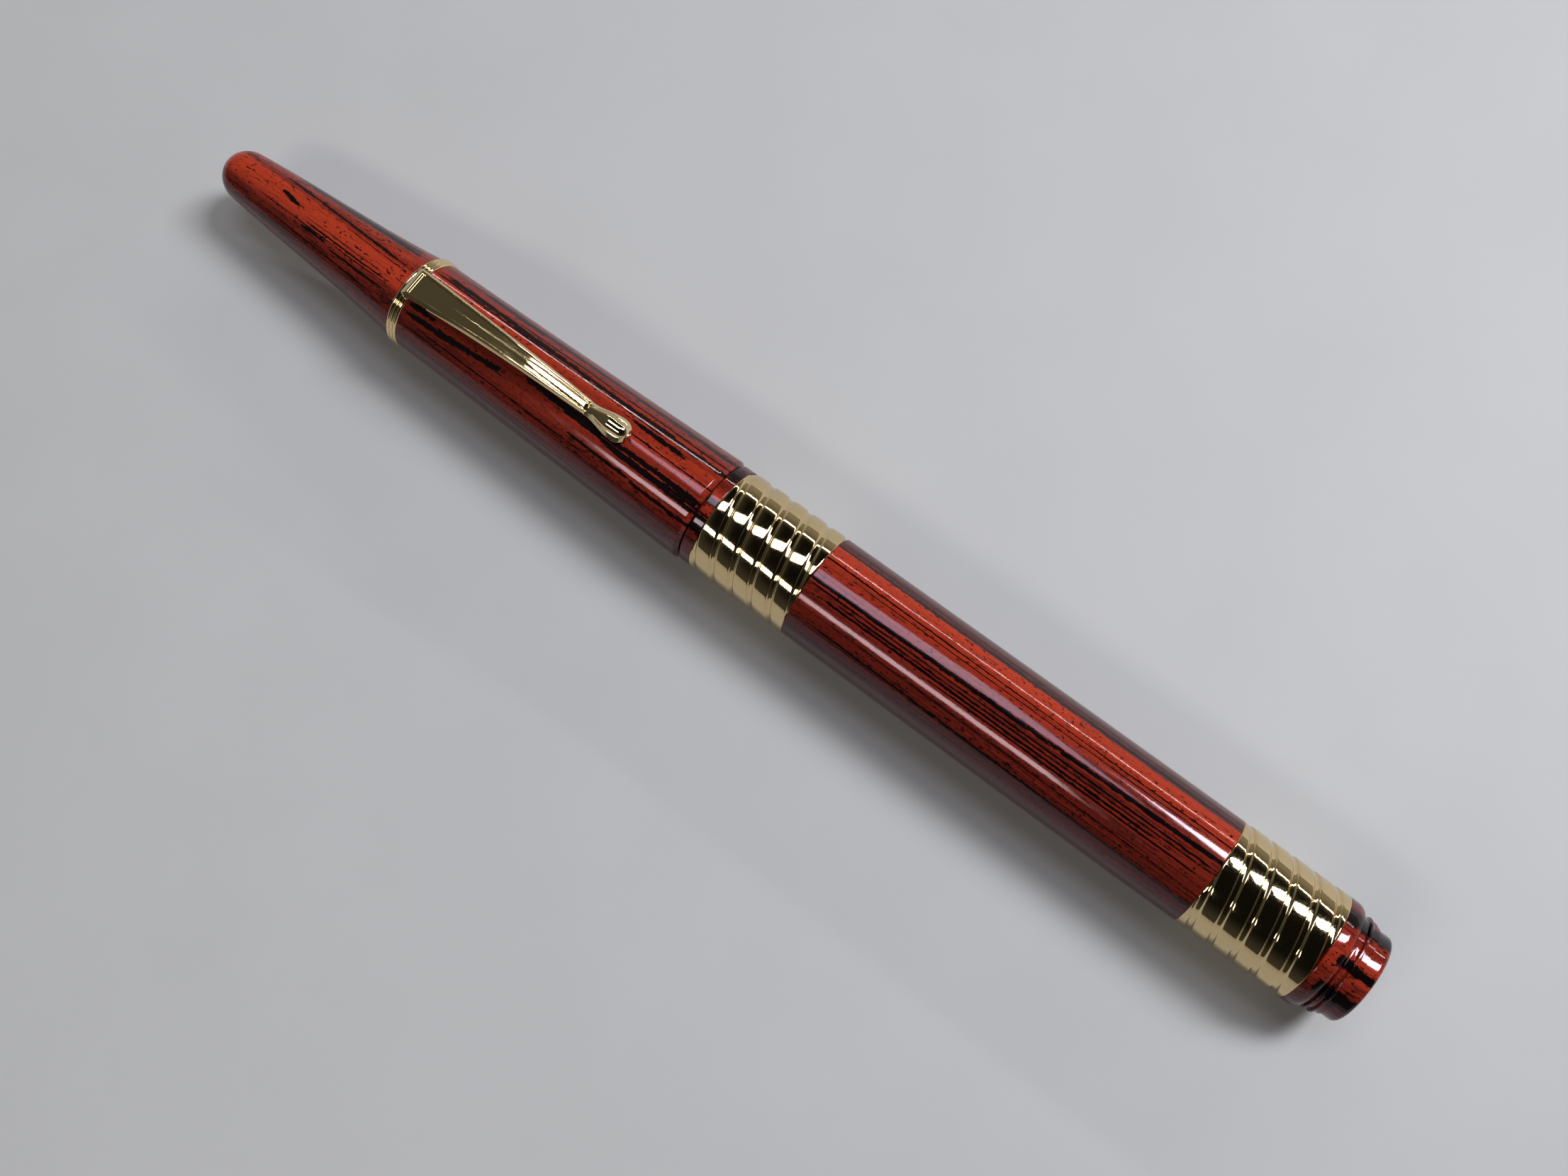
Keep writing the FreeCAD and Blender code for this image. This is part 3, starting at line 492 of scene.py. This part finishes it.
def make_clip():
    """Clip as a row of closed sections. Rows lie close together at its edges and slopes."""
    stations = [0, 0.012, 0.04, 0.08, 0.13, 0.19, 0.26, 0.34, 0.42, 0.5, 0.56, 0.6, 0.64, 0.68,
                0.72, 0.76, 0.8, 0.9]
    stations += spread(1.0, SADDLE_BACK - 0.04, 0.17) + [SADDLE_BACK - 0.005, SADDLE_BACK + 0.005]
    stations += spread(2.55, BAR_END, 0.2)
    stations += spread(BAR_END + 0.1, DROP_MIDDLE, 0.07)
    stations += [DROP_MIDDLE + DROP_HALF * math.sin(math.pi / 2 * k / 24) for k in range(1, 24)]
    stations += [CLIP_END - 0.0008]
    inner = [k / 24 for k in range(25)]
    outer = [0.62, 0.58, 0.54, 0.51, 0.48, 0.45, 0.42, 0.39, 0.36, 0.33, 0.31, 0.29, 0.27, 0.25,
             0.2, 0.15, 0.1, 0.05, 0.01, 0.0]
    verts, sections = [], []
    for s in stations:
        width = clip_half_width(s)
        scale = min(1, width)
        half = [f * (width - BORDER * scale) for f in inner] + [width - e * scale for e in outer]
        across = [-y for y in reversed(half[1:])] + half
        places = [(y, clip_top(s, y, width)) for y in across]
        side_low = clip_top(s, width, width) - THIN_EDGE
        for y in reversed(across):
            low = clip_bottom(s, y)
            places.append((y, min(low, side_low) if abs(y) == width else low))
        sections.append(range(len(verts), len(verts) + len(places)))
        verts += [point(CLIP_FRONT + s, y, z) for y, z in places]
    faces = []
    for ring, following in zip(sections, sections[1:]):
        for k in range(len(ring)):
            j = (k + 1) % len(ring)
            faces.append((ring[k], ring[j], following[j], following[k]))
    faces.append(tuple(reversed(sections[0])))
    faces.append(tuple(sections[-1]))
    return finish_mesh("clip", verts, faces, 40)


pieces["clip"] = make_clip()


# ---------------------------------------------------------------- materials
class Graph:
    """Short ways of adding and joining nodes in one tree."""

    def __init__(self, tree):
        self.tree = tree

    def add(self, kind, inputs=None, **settings):
        node = self.tree.nodes.new(kind)
        for key, value in settings.items():
            setattr(node, key, value)
        for key, value in (inputs or {}).items():
            self.put(node.inputs[key], value)
        return node

    def put(self, socket, value):
        if isinstance(value, bpy.types.NodeSocket):
            self.tree.links.new(value, socket)
        else:
            socket.default_value = value

    def math(self, operation, a, b=0.0, c=0.0, clamp=False):
        return self.add("ShaderNodeMath", {0: a, 1: b, 2: c}, operation=operation,
                        use_clamp=clamp).outputs[0]

    def centred(self, value, amount):
        """A value between 0 and 1 as a swing of that amount about zero."""
        return self.math("MULTIPLY_ADD", value, amount, -amount / 2)

    def opposite(self, value):
        return self.math("SUBTRACT", 1.0, value)

    def step(self, value, low, high, out_low=0.0, out_high=1.0):
        return self.add("ShaderNodeMapRange", {
            "Value": value, "From Min": low, "From Max": high, "To Min": out_low,
            "To Max": out_high}, interpolation_type="SMOOTHSTEP").outputs["Result"]

    def scaled(self, vector, scale, shift=(0, 0, 0)):
        return self.add("ShaderNodeMapping", {
            "Vector": vector, "Scale": scale, "Location": shift}).outputs[0]

    def noise(self, vector, scale=1.0, detail=2.0, rough=0.5):
        return self.add("ShaderNodeTexNoise", {
            "Vector": vector, "Scale": scale, "Detail": detail,
            "Roughness": rough}).outputs["Fac"]

    def mix(self, factor, a, b):
        node = self.add("ShaderNodeMix", {0: factor}, data_type="RGBA")
        self.put(node.inputs[6], a)
        self.put(node.inputs[7], b)
        return node.outputs[2]

    def bump(self, height, distance):
        return self.add("ShaderNodeBump", {
            "Height": height, "Distance": distance, "Strength": 1.0}).outputs[0]

    def ramp(self, factor, stops):
        """Smooth grey ramp through (position, level) stops."""
        node = self.add("ShaderNodeValToRGB", {0: factor})
        node.color_ramp.interpolation = "EASE"
        elements = node.color_ramp.elements
        for element, (position, level) in zip(elements, (stops[0], stops[-1])):
            element.position = position
            element.color = (level, level, level, 1)
        for position, level in stops[1:-1]:
            elements.new(position).color = (level, level, level, 1)
        return node.outputs[0]


def new_material(name):
    material = bpy.data.materials.new(name)
    material.use_nodes = True
    graph = Graph(material.node_tree)
    shader = next(n for n in material.node_tree.nodes if n.type == "BSDF_PRINCIPLED")
    return material, graph, shader


def new_group(name, inputs, outputs):
    """Node group with (label, kind) sockets: its tree, graph, input node and output node."""
    tree = bpy.data.node_groups.new(name, "ShaderNodeTree")
    for direction, sockets in (("INPUT", inputs), ("OUTPUT", outputs)):
        for label, kind in sockets:
            tree.interface.new_socket(name=label, in_out=direction, socket_type="NodeSocket" + kind)
    graph = Graph(tree)
    return tree, graph, graph.add("NodeGroupInput"), graph.add("NodeGroupOutput")


ROLL = math.radians(11)  # turn of the veins' plane about the axis


def coordinates_group():
    """Millimetre coordinates: station, offset across the veins' plane, height over it."""
    tree, g, _, out = new_group("pen_coordinates", [], [
        ("Place", "Vector"), ("Station", "Float"), ("Across", "Float"), ("Height", "Float")])
    place = g.scaled(g.add("ShaderNodeTexCoord").outputs["Object"], (1 / MM,) * 3,
                     (HALF_LENGTH, 0, -AXIS_HEIGHT))
    x, y, z = g.add("ShaderNodeSeparateXYZ", {0: place}).outputs
    across = g.math("MULTIPLY_ADD", y, math.cos(ROLL), g.math("MULTIPLY", z, math.sin(ROLL)))
    height = g.math("MULTIPLY_ADD", z, math.cos(ROLL), g.math("MULTIPLY", y, -math.sin(ROLL)))
    for socket, value in zip(out.inputs, (place, x, across, height)):
        g.put(socket, value)
    return tree


def vein_group():
    """One long vein: a soft-edged band between two stations that drifts across as it goes."""
    names = ("Station", "Across", "Start", "End", "From", "To", "Half", "Fade", "Wobble")
    tree, g, given, out = new_group("vein", [(n, "Float") for n in names], [("Mask", "Float")])
    station, across, start, end, first, last, half, fade, wobble = given.outputs[:9]
    behind, left = g.math("SUBTRACT", station, start), g.math("SUBTRACT", end, station)
    t = g.math("DIVIDE", behind, g.math("SUBTRACT", end, start), clamp=True)
    centre = g.math("MULTIPLY_ADD", t, g.math("SUBTRACT", last, first), first)
    off = g.math("ABSOLUTE", g.math("SUBTRACT", g.math("ADD", across, wobble), centre))
    fall = g.math("MULTIPLY", 0.45, g.math("DIVIDE", off, half))
    body = g.math("SUBTRACT", 1.2, fall, clamp=True)
    ends = g.math("MULTIPLY", g.math("DIVIDE", behind, fade, clamp=True),
                  g.math("DIVIDE", left, fade, clamp=True))
    g.put(out.inputs[0], g.math("MULTIPLY", body, ends))
    return tree


COORDINATES = coordinates_group()
VEIN = vein_group()

ORANGE = (0.33, 0.031, 0.011, 1)
RED = (0.17, 0.015, 0.007, 1)
BROWN = (0.058, 0.008, 0.005, 1)
SOOT = (0.014, 0.0035, 0.003, 1)
BLACK = (0.0035, 0.0016, 0.0018, 1)
ROSY = (1.0, 0.78, 0.84, 1)  # tint of the polish

# Scales of the noises in hard rubber, along the pen and in its two cross directions.
SLOW = (0.035, 0.35, 0.35)
LONG_LINES = (0.018, 1.2, 1.2)
FINE_LINES = (0.05, 3.0, 3.0)
GRAIN = (1.0, 3.2, 3.2)
SPECKS = (1.7, 3.6, 3.6)
WAVE = (0.09, 0.12, 0.12)
POLISH = (0.5, 3, 3)
DENTS = (0.8, 4, 4)
DENT_DEPTH = 0.0000025
TONE_REACH = 7  # half the width that the tones cover
SEED_STEP = (17.3, 5.1, 9.7)

# Where a soft step between two looks begins and ends.
UPPER_SIDE = (-0.6, 0.8)
WILD_VEINS = (0.58, 0.66)
VEIN_EDGE = (0.46, 0.6)
BROWN_TO_RED = (0.0, 0.5)
RED_TO_ORANGE = (0.4, 0.9)
THIN_LINES = (0.49, 0.58)
FLECKS = (0.6, 0.67)
GLOSS = (0.06, 0.11)


def ebonite(name, veins, tones, seed, sway=0.3):
    """Polished streaked hard rubber. Veins are (start, end, from, to, half width, fade) on the side
    that faces up; tones are (offset, brightness) stops across it, and their fall towards negative
    offsets is partly painted shade on the side away from the lamps. The rest follows the noise."""
    material, g, shader = new_material(name)
    pen = g.add("ShaderNodeGroup", node_tree=COORDINATES)
    place, station, across, height = pen.outputs
    upper = g.step(height, *UPPER_SIDE)
    shift = tuple(seed * s for s in SEED_STEP)
    slow = g.noise(g.scaled(place, SLOW, shift), detail=1.0)
    long_lines = g.noise(g.scaled(place, LONG_LINES, shift), detail=4.0, rough=0.72)
    fine_lines = g.noise(g.scaled(place, FINE_LINES, shift), detail=3.0, rough=0.66)
    grain = g.noise(g.scaled(place, GRAIN, shift), detail=4.0, rough=0.75)
    specks = g.noise(g.scaled(place, SPECKS, shift), detail=1.0)
    wobble = g.centred(g.noise(g.scaled(place, WAVE, shift), detail=3.0), sway)

    # Black veins: the listed ones above, long lines of noise below, both with ragged edges.
    total = None
    for start, end, first, last, half, fade in veins:
        vein = g.add("ShaderNodeGroup", {
            "Station": station, "Across": across, "Start": start, "End": end, "From": first,
            "To": last, "Half": half, "Fade": fade, "Wobble": wobble}, node_tree=VEIN).outputs[0]
        total = vein if total is None else g.math("MAXIMUM", total, vein)
    planned = g.math("MULTIPLY", total, upper)
    wild = g.math("MULTIPLY", g.step(long_lines, *WILD_VEINS), g.opposite(upper))
    field = g.math("MAXIMUM", planned, wild)
    ragged = g.math("ADD", g.centred(grain, 1.9), g.centred(fine_lines, 1.4))
    ragged = g.math("MULTIPLY", ragged, g.step(field, 0.0, 0.25))
    black = g.step(g.math("ADD", field, ragged), *VEIN_EDGE)

    # Reddish ground, from brown through red to orange. The tone stops darken towards negative
    # offsets,
    #     the side turned away from the lamps, so the brown there is partly the rubber's own colour
    #     and partly painted shade.
    stops = [((offset + TONE_REACH) / (2 * TONE_REACH), level) for offset, level in sorted(tones)]
    position = g.math("MULTIPLY_ADD", g.math("ADD", across, wobble), 1 / (2 * TONE_REACH), 0.5)
    tone = g.math("ADD", g.math("MULTIPLY", g.ramp(position, stops), upper),
                  g.math("MULTIPLY", slow, g.opposite(upper)))
    tone = g.math("ADD", tone, g.centred(long_lines, 1.1))
    tone = g.math("ADD", tone, g.centred(fine_lines, 0.9))
    tone = g.math("ADD", tone, g.centred(grain, 0.35), clamp=True)
    colour = g.mix(g.step(tone, *BROWN_TO_RED), BROWN, RED)
    colour = g.mix(g.step(tone, *RED_TO_ORANGE), colour, ORANGE)

    # Thin sooty lines, stronger on the darker ground, and flecks along the long lines.
    thin = g.step(g.math("ADD", fine_lines, g.centred(grain, 0.5)), *THIN_LINES)
    dusky = g.step(tone, 0.9, 0.2, 0.22, 1.0)
    colour = g.mix(g.math("MULTIPLY", thin, dusky), colour, SOOT)
    flecks = g.math("MULTIPLY", g.step(specks, *FLECKS), g.step(long_lines, 0.4, 0.55, 0.3, 1.0))
    colour = g.mix(flecks, colour, SOOT)
    g.put(shader.inputs["Base Color"], g.mix(black, colour, BLACK))

    polish = g.noise(g.scaled(place, POLISH, shift), detail=3.0)
    g.put(shader.inputs["Roughness"], g.step(polish, 0.3, 0.7, *GLOSS))
    shader.inputs["IOR"].default_value = 1.46
    shader.inputs["Specular Tint"].default_value = ROSY
    dents = g.noise(g.scaled(place, DENTS, shift), detail=2.0)
    g.put(shader.inputs["Normal"], g.bump(dents, DENT_DEPTH))
    return material


def metal(name, colour, rough=(0.04, 0.09), stretch=(4, 4, 4), depth=0.000001):
    """Polished or drawn metal: fine marks in the roughness, and a faint unevenness."""
    material, g, shader = new_material(name)
    place = g.add("ShaderNodeGroup", node_tree=COORDINATES).outputs[0]
    marks = g.noise(g.scaled(place, stretch), detail=4.0, rough=0.7)
    cloud = g.noise(g.scaled(place, (0.3, 0.5, 0.5)), detail=2.0)
    darker = tuple(c * 0.94 for c in colour) + (1,)
    g.put(shader.inputs["Base Color"], g.mix(cloud, tuple(colour) + (1,), darker))
    g.put(shader.inputs["Roughness"], g.step(marks, 0.3, 0.75, *rough))
    g.put(shader.inputs["Normal"], g.bump(marks, depth))
    shader.inputs["Metallic"].default_value = 1.0
    return material


def plastic(name, colour, rough=(0.3, 0.45), scale=6.0, depth=0.000004):
    """Moulded plastic or fibre: fine grain in colour, roughness and surface."""
    material, g, shader = new_material(name)
    place = g.add("ShaderNodeGroup", node_tree=COORDINATES).outputs[0]
    grain = g.noise(g.scaled(place, (scale,) * 3), detail=3.0, rough=0.6)
    lighter = tuple(min(1, c * 1.5 + 0.01) for c in colour) + (1,)
    g.put(shader.inputs["Base Color"], g.mix(grain, tuple(colour) + (1,), lighter))
    g.put(shader.inputs["Roughness"], g.step(grain, 0.3, 0.7, *rough))
    g.put(shader.inputs["Normal"], g.bump(grain, depth))
    return material


# Veins and tones, piece by piece, in the order that ebonite takes them. The low tone stops at
# negative offsets are partly painted shade on the side away from the lamps, and partly the rubber's
# own colour.
BARREL_VEINS = [
    (85, 138, 0.65, 1.25, 0.15, 1.0),
    (85, 138, 3.24, 3.03, 0.05, 1.0),
    (85, 138, 2.72, 2.6, 0.03, 8.0),
    (85, 138, 0.14, 0.30, 0.06, 3.0),
    (88, 138, -0.30, -0.12, 0.06, 6.0),
    (85, 133, -0.67, -0.62, 0.09, 5.0),
    (98, 138, -1.05, -1.1, 0.06, 8.0),
    (85, 138, -3.5, -4.15, 0.08, 6.0),
    (85, 138, -2.4, -2.7, 0.04, 8.0),
    (85, 138, 4.95, 5.15, 0.05, 2.0),
    (85, 138, 5.45, 5.6, 0.04, 2.0),
]
BARREL_TONES_AND_SHADE = [(-6.4, 0.1), (-4.5, 0.18), (-2.8, 0.34), (-1.2, 0.44), (0.0, 0.42), (1.3, 0.46),
                (2.2, 0.62), (3.4, 0.72), (4.7, 0.95), (5.0, 0.2), (6.4, 0.15)]
CAP_VEINS = [
    (34, 77, 4.9, 5.6, 0.10, 4.0),
    (30, 77, 4.05, 3.83, 0.16, 3.5),
    (30, 66, 3.68, 3.45, 0.06, 3.0),
    (58.5, 69, 2.95, 3.05, 0.17, 3.0),
    (44, 77, 0.05, -0.30, 0.24, 6.0),
    (50, 77, -0.5, -0.85, 0.12, 5.0),
    (57, 77, -0.75, -1.4, 0.16, 5.0),
    (53, 66, -2.2, -2.45, 0.10, 3.0),
    (62, 77, -2.6, -2.85, 0.15, 3.0),
    (58, 77, 1.75, 1.65, 0.05, 2.0),
    (40, 77, 4.45, 4.6, 0.05, 4.0),
    (30.5, 36.2, -0.72, -0.8, 0.18, 1.4),
    (30.5, 46, -1.95, -1.12, 0.21, 2.2),
    (30.5, 73, -4.3, -5.6, 0.07, 6.0),
    (31, 60, -2.7, -3.1, 0.05, 6.0),
]
CAP_TONES_AND_SHADE = [(-6.4, 0.1), (-4.6, 0.25), (-3.0, 0.42), (-2.0, 0.6), (0.0, 0.6), (2.0, 0.66),
             (3.0, 0.7), (3.6, 0.72), (4.4, 0.55), (5.4, 0.45), (6.4, 0.3)]
CROWN_VEINS = [
    (6, 30, 2.75, 2.25, 0.09, 4.0),
    (8, 30, 3.35, 4.2, 0.11, 3.0),
    (9.2, 13.0, 1.35, 0.6, 0.17, 1.2),
    (12, 30, -0.2, -0.4, 0.06, 5.0),
    (10, 31, 0.25, 0.1, 0.03, 6.0),
    (16, 31, 1.95, 1.7, 0.035, 5.0),
    (4, 31, -0.5, -0.75, 0.04, 6.0),
    (13, 20, -0.85, -1.0, 0.12, 2.5),
    (17, 30, -1.25, -1.5, 0.10, 4.0),
    (14, 30, 3.7, 4.6, 0.14, 4.0),
    (5, 30, -1.6, -2.6, 0.05, 5.0),
]
CROWN_TONES_AND_SHADE = [(-6.4, 0.2), (-3.0, 0.3), (-1.2, 0.36), (-0.5, 0.7), (0.2, 0.95), (1.8, 0.95),
               (2.3, 0.45), (3.4, 0.55), (6.4, 0.4)]
COLLAR_VEINS = [
    (71.8, 75, 0.85, 0.85, 0.3, 0.1),
    (71.8, 75, -1.9, -1.9, 0.75, 0.1),
    (71.8, 75, 4.6, 4.6, 0.5, 0.1),
    (62, 72, -2.4, -2.1, 0.2, 3.0),
    (62, 72, 2.2, 2.4, 0.12, 3.0),
]
TAIL_VEINS = [
    (148, 152, 4.6, 4.6, 0.5, 0.6),
    (149.8, 156, 4.3, 4.4, 0.42, 0.5),
    (149.6, 156, 0.4, 0.3, 0.34, 0.5),
    (149.4, 156, -3.1, -2.8, 0.62, 0.5),
]
TAIL_TONES_AND_SHADE = [(-6.4, 0.2), (-3.4, 0.3), (-1.0, 0.55), (1.5, 0.7), (3.0, 0.5), (6.4, 0.2)]
GRIP_VEINS = [
    (40, 80, -2.0, -1.6, 0.3, 6.0),
    (38, 80, 1.9, 2.3, 0.16, 8.0),
    (46, 74, 0.4, 0.1, 0.22, 8.0),
]
GRIP_TONES_AND_SHADE = [(-6.4, 0.3), (-1.0, 0.7), (2.0, 0.5), (6.4, 0.4)]

GOLD = (0.83, 0.65, 0.36)
BAND_GOLD = (0.72, 0.55, 0.29)
BRASS = (0.78, 0.58, 0.30)
INK = (0.012, 0.016, 0.06)
TURNED = (12, 1, 1)  # stretch of the marks: rings about the pen
DRAWN = (0.3, 14, 14)  # lines along the pen
materials = {  # by material slot
    "hard_rubber_barrel": ebonite("ebonite_barrel", BARREL_VEINS, BARREL_TONES_AND_SHADE, 1, 0.12),
    "hard_rubber_cap": ebonite("ebonite_cap", CAP_VEINS, CAP_TONES_AND_SHADE, 2),
    "hard_rubber_crown": ebonite("ebonite_crown", CROWN_VEINS, CROWN_TONES_AND_SHADE, 3),
    "hard_rubber_tail": ebonite("ebonite_tail", TAIL_VEINS, TAIL_TONES_AND_SHADE, 4),
    "hard_rubber_collar": ebonite("ebonite_collar", COLLAR_VEINS, TAIL_TONES_AND_SHADE, 2),
    "hard_rubber_grip": ebonite("ebonite_grip", GRIP_VEINS, GRIP_TONES_AND_SHADE, 6),
    "gold_front_band": metal("gold_fore", BAND_GOLD),
    "gold_rear_band": metal("gold_aft", BAND_GOLD),
    "gold_ring": metal("gold_ring_polish", GOLD),
    "gold_clip": metal("gold_clip_polish", GOLD),
    "gold_nose": metal("gold_nose_polish", GOLD),
    "brass_sleeve": metal("brass_machined", BRASS, (0.14, 0.26), TURNED, 0.000003),
    "spring_steel": metal("wire_drawn", (0.60, 0.60, 0.61), (0.16, 0.28), (6, 6, 6), 0.000002),
    "refill_metal": metal("tube_drawn", (0.66, 0.66, 0.67), (0.18, 0.32), DRAWN, 0.000002),
    "point_steel": metal("steel_turned", (0.70, 0.69, 0.67), (0.10, 0.2), (14, 1, 1), 0.000002),
    "ball_carbide": metal("carbide", (0.45, 0.45, 0.47), (0.05, 0.12), (20, 20, 20), 0.000001),
    "liner_plastic": plastic("liner_satin", (0.030, 0.030, 0.033), (0.4, 0.55)),
    "refill_shoulder": plastic("shoulder_moulded", (0.05, 0.05, 0.055), (0.22, 0.34)),
    "plug_plastic": plastic("plug_moulded", (0.04, 0.04, 0.045), (0.22, 0.34)),
    "ink_fibre": plastic("fibre_inked", INK, (0.7, 0.9), 12.0, 0.00003),
    "wick_fibre": plastic("wick_inked", INK, (0.7, 0.9), 14.0, 0.00002),
}

# The refill spring keeps the frame's wire, as a piece of its own.
wire = nodes["refill_spring"].data.copy()
wire.transform(nodes["refill_spring"].matrix_world)
wire.materials.clear()
pieces["spring_coil"] = bpy.data.objects.new("spring_coil", wire)
bpy.context.scene.collection.objects.link(pieces["spring_coil"])

REPLACED = {  # new piece: the node it stands for
    "crown": "cap_finial", "ring": "clip_ring", "cap_shell": "cap_tube", "collar": "front_collar",
    "barrel_shell": "barrel_tube", "tail": "tail_piece", "band_fore": "front_band",
    "band_aft": "rear_band", "clip": "pocket_clip", "spring_coil": "refill_spring",
}
record_bodies = frame["record"]["behaviour"]["bodies"]
bodies = {node: body for body, members in record_bodies.items() for node in members}
slots = {part["node"]: part["material_slot"] for part in frame["record"]["subparts"]}
for name, node in REPLACED.items():
    piece = pieces[name]
    piece.data.materials.append(materials[slots[node]])
    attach(piece, bodies[node])
    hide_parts(node)
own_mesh(pieces["spring_coil"])
for name, node in nodes.items():
    if name not in REPLACED.values():
        node.material_slots[0].material = materials[slots[name]]


# ---------------------------------------------------------------- stage
# Lengths in this part are in metres.
FLOOR_HALF = 1.6
FLOOR_DIM = (0.375, 0.365, 0.345, 1)
FLOOR_PALE = (0.405, 0.395, 0.375, 1)


def make_floor():
    mesh = bpy.data.meshes.new("floor")
    corners = [(-1, -1), (1, -1), (1, 1), (-1, 1)]
    mesh.from_pydata([(x * FLOOR_HALF, y * FLOOR_HALF, 0) for x, y in corners], [], [(0, 1, 2, 3)])
    floor = bpy.data.objects.new("floor", mesh)
    bpy.context.scene.collection.objects.link(floor)
    material, g, shader = new_material("floor_pale")
    cloud = g.noise(g.add("ShaderNodeTexCoord").outputs["Object"], 60.0, detail=4.0)
    g.put(shader.inputs["Base Color"], g.mix(cloud, FLOOR_DIM, FLOOR_PALE))
    shader.inputs["Roughness"].default_value = 0.6
    floor.data.materials.append(material)


LAMPS = [  # name, place, length and width, heading of the length in degrees, strength, colour
    ("window_near", (0.35, 0.54, 0.80), (0.44, 0.21), 36, 42.0, (0.86, 0.90, 1.0)),
    ("window_far", (-0.12, 0.22, 0.86), (0.46, 0.22), 36, 6.0, (0.78, 0.83, 1.0)),
    ("window_side", (-0.17, -0.76, 0.80), (0.52, 0.16), 8, 11.0, (1.0, 0.97, 0.95)),
    ("window_slit", (-0.08, 0.86, 0.42), (1.0, 0.016), 4, 32.0, (1.0, 0.98, 0.96)),
]


def softbox(name, place, size, heading, strength, colour):
    """Rectangular area light that faces the middle of the pen."""
    light = bpy.data.lights.new(name, "AREA")
    light.shape = "RECTANGLE"
    light.size, light.size_y = size
    light.color = colour
    light.energy = strength * size[0] * size[1] * math.pi
    lamp = bpy.data.objects.new(name, light)
    bpy.context.scene.collection.objects.link(lamp)
    back = Vector(place).normalized()
    angle = math.radians(heading)
    length = Vector((math.cos(angle), math.sin(angle), 0))
    side = (length - back * length.dot(back)).normalized()
    lamp.matrix_world = Matrix((side, back.cross(side), back)).transposed().to_4x4()
    lamp.location = place


# Sky: dark overhead and olive towards the crown, over a horizon that is bright on one side.
BRIGHT = (0.28, 0.27, 0.24, 1)
DULL = (0.05, 0.048, 0.044, 1)
DARK = (0.006, 0.006, 0.006, 1)
OLIVE = (0.068, 0.068, 0.056, 1)


def make_room():
    world = bpy.data.worlds.new("room")
    bpy.context.scene.world = world
    world.use_nodes = True
    g = Graph(world.node_tree)
    background = next(n for n in world.node_tree.nodes if n.type == "BACKGROUND")
    direction = g.add("ShaderNodeTexCoord").outputs["Generated"]
    x, y, z = g.add("ShaderNodeSeparateXYZ", {0: direction}).outputs
    overhead = g.mix(g.step(x, -0.2, -0.42), DARK, OLIVE)
    horizon = g.mix(g.step(y, -0.5, 0.6), DULL, BRIGHT)
    g.put(background.inputs["Color"], g.mix(g.step(z, 0.05, 0.62), horizon, overhead))


def make_camera():
    data = bpy.data.cameras.new("camera")
    data.lens = 36.1
    data.sensor_width = 36.0
    data.clip_start = 0.005
    data.clip_end = 10
    camera = bpy.data.objects.new("camera", data)
    camera.location = (0.03647, -0.03194, 0.17065)
    camera.rotation_euler = Euler([math.radians(a) for a in (14.334, 2.149, 37.152)], "XYZ")
    bpy.context.scene.collection.objects.link(camera)
    bpy.context.scene.camera = camera


make_floor()
for lamp_values in LAMPS:
    softbox(*lamp_values)
make_room()
make_camera()
bpy.context.scene.view_settings.view_transform = "Standard"
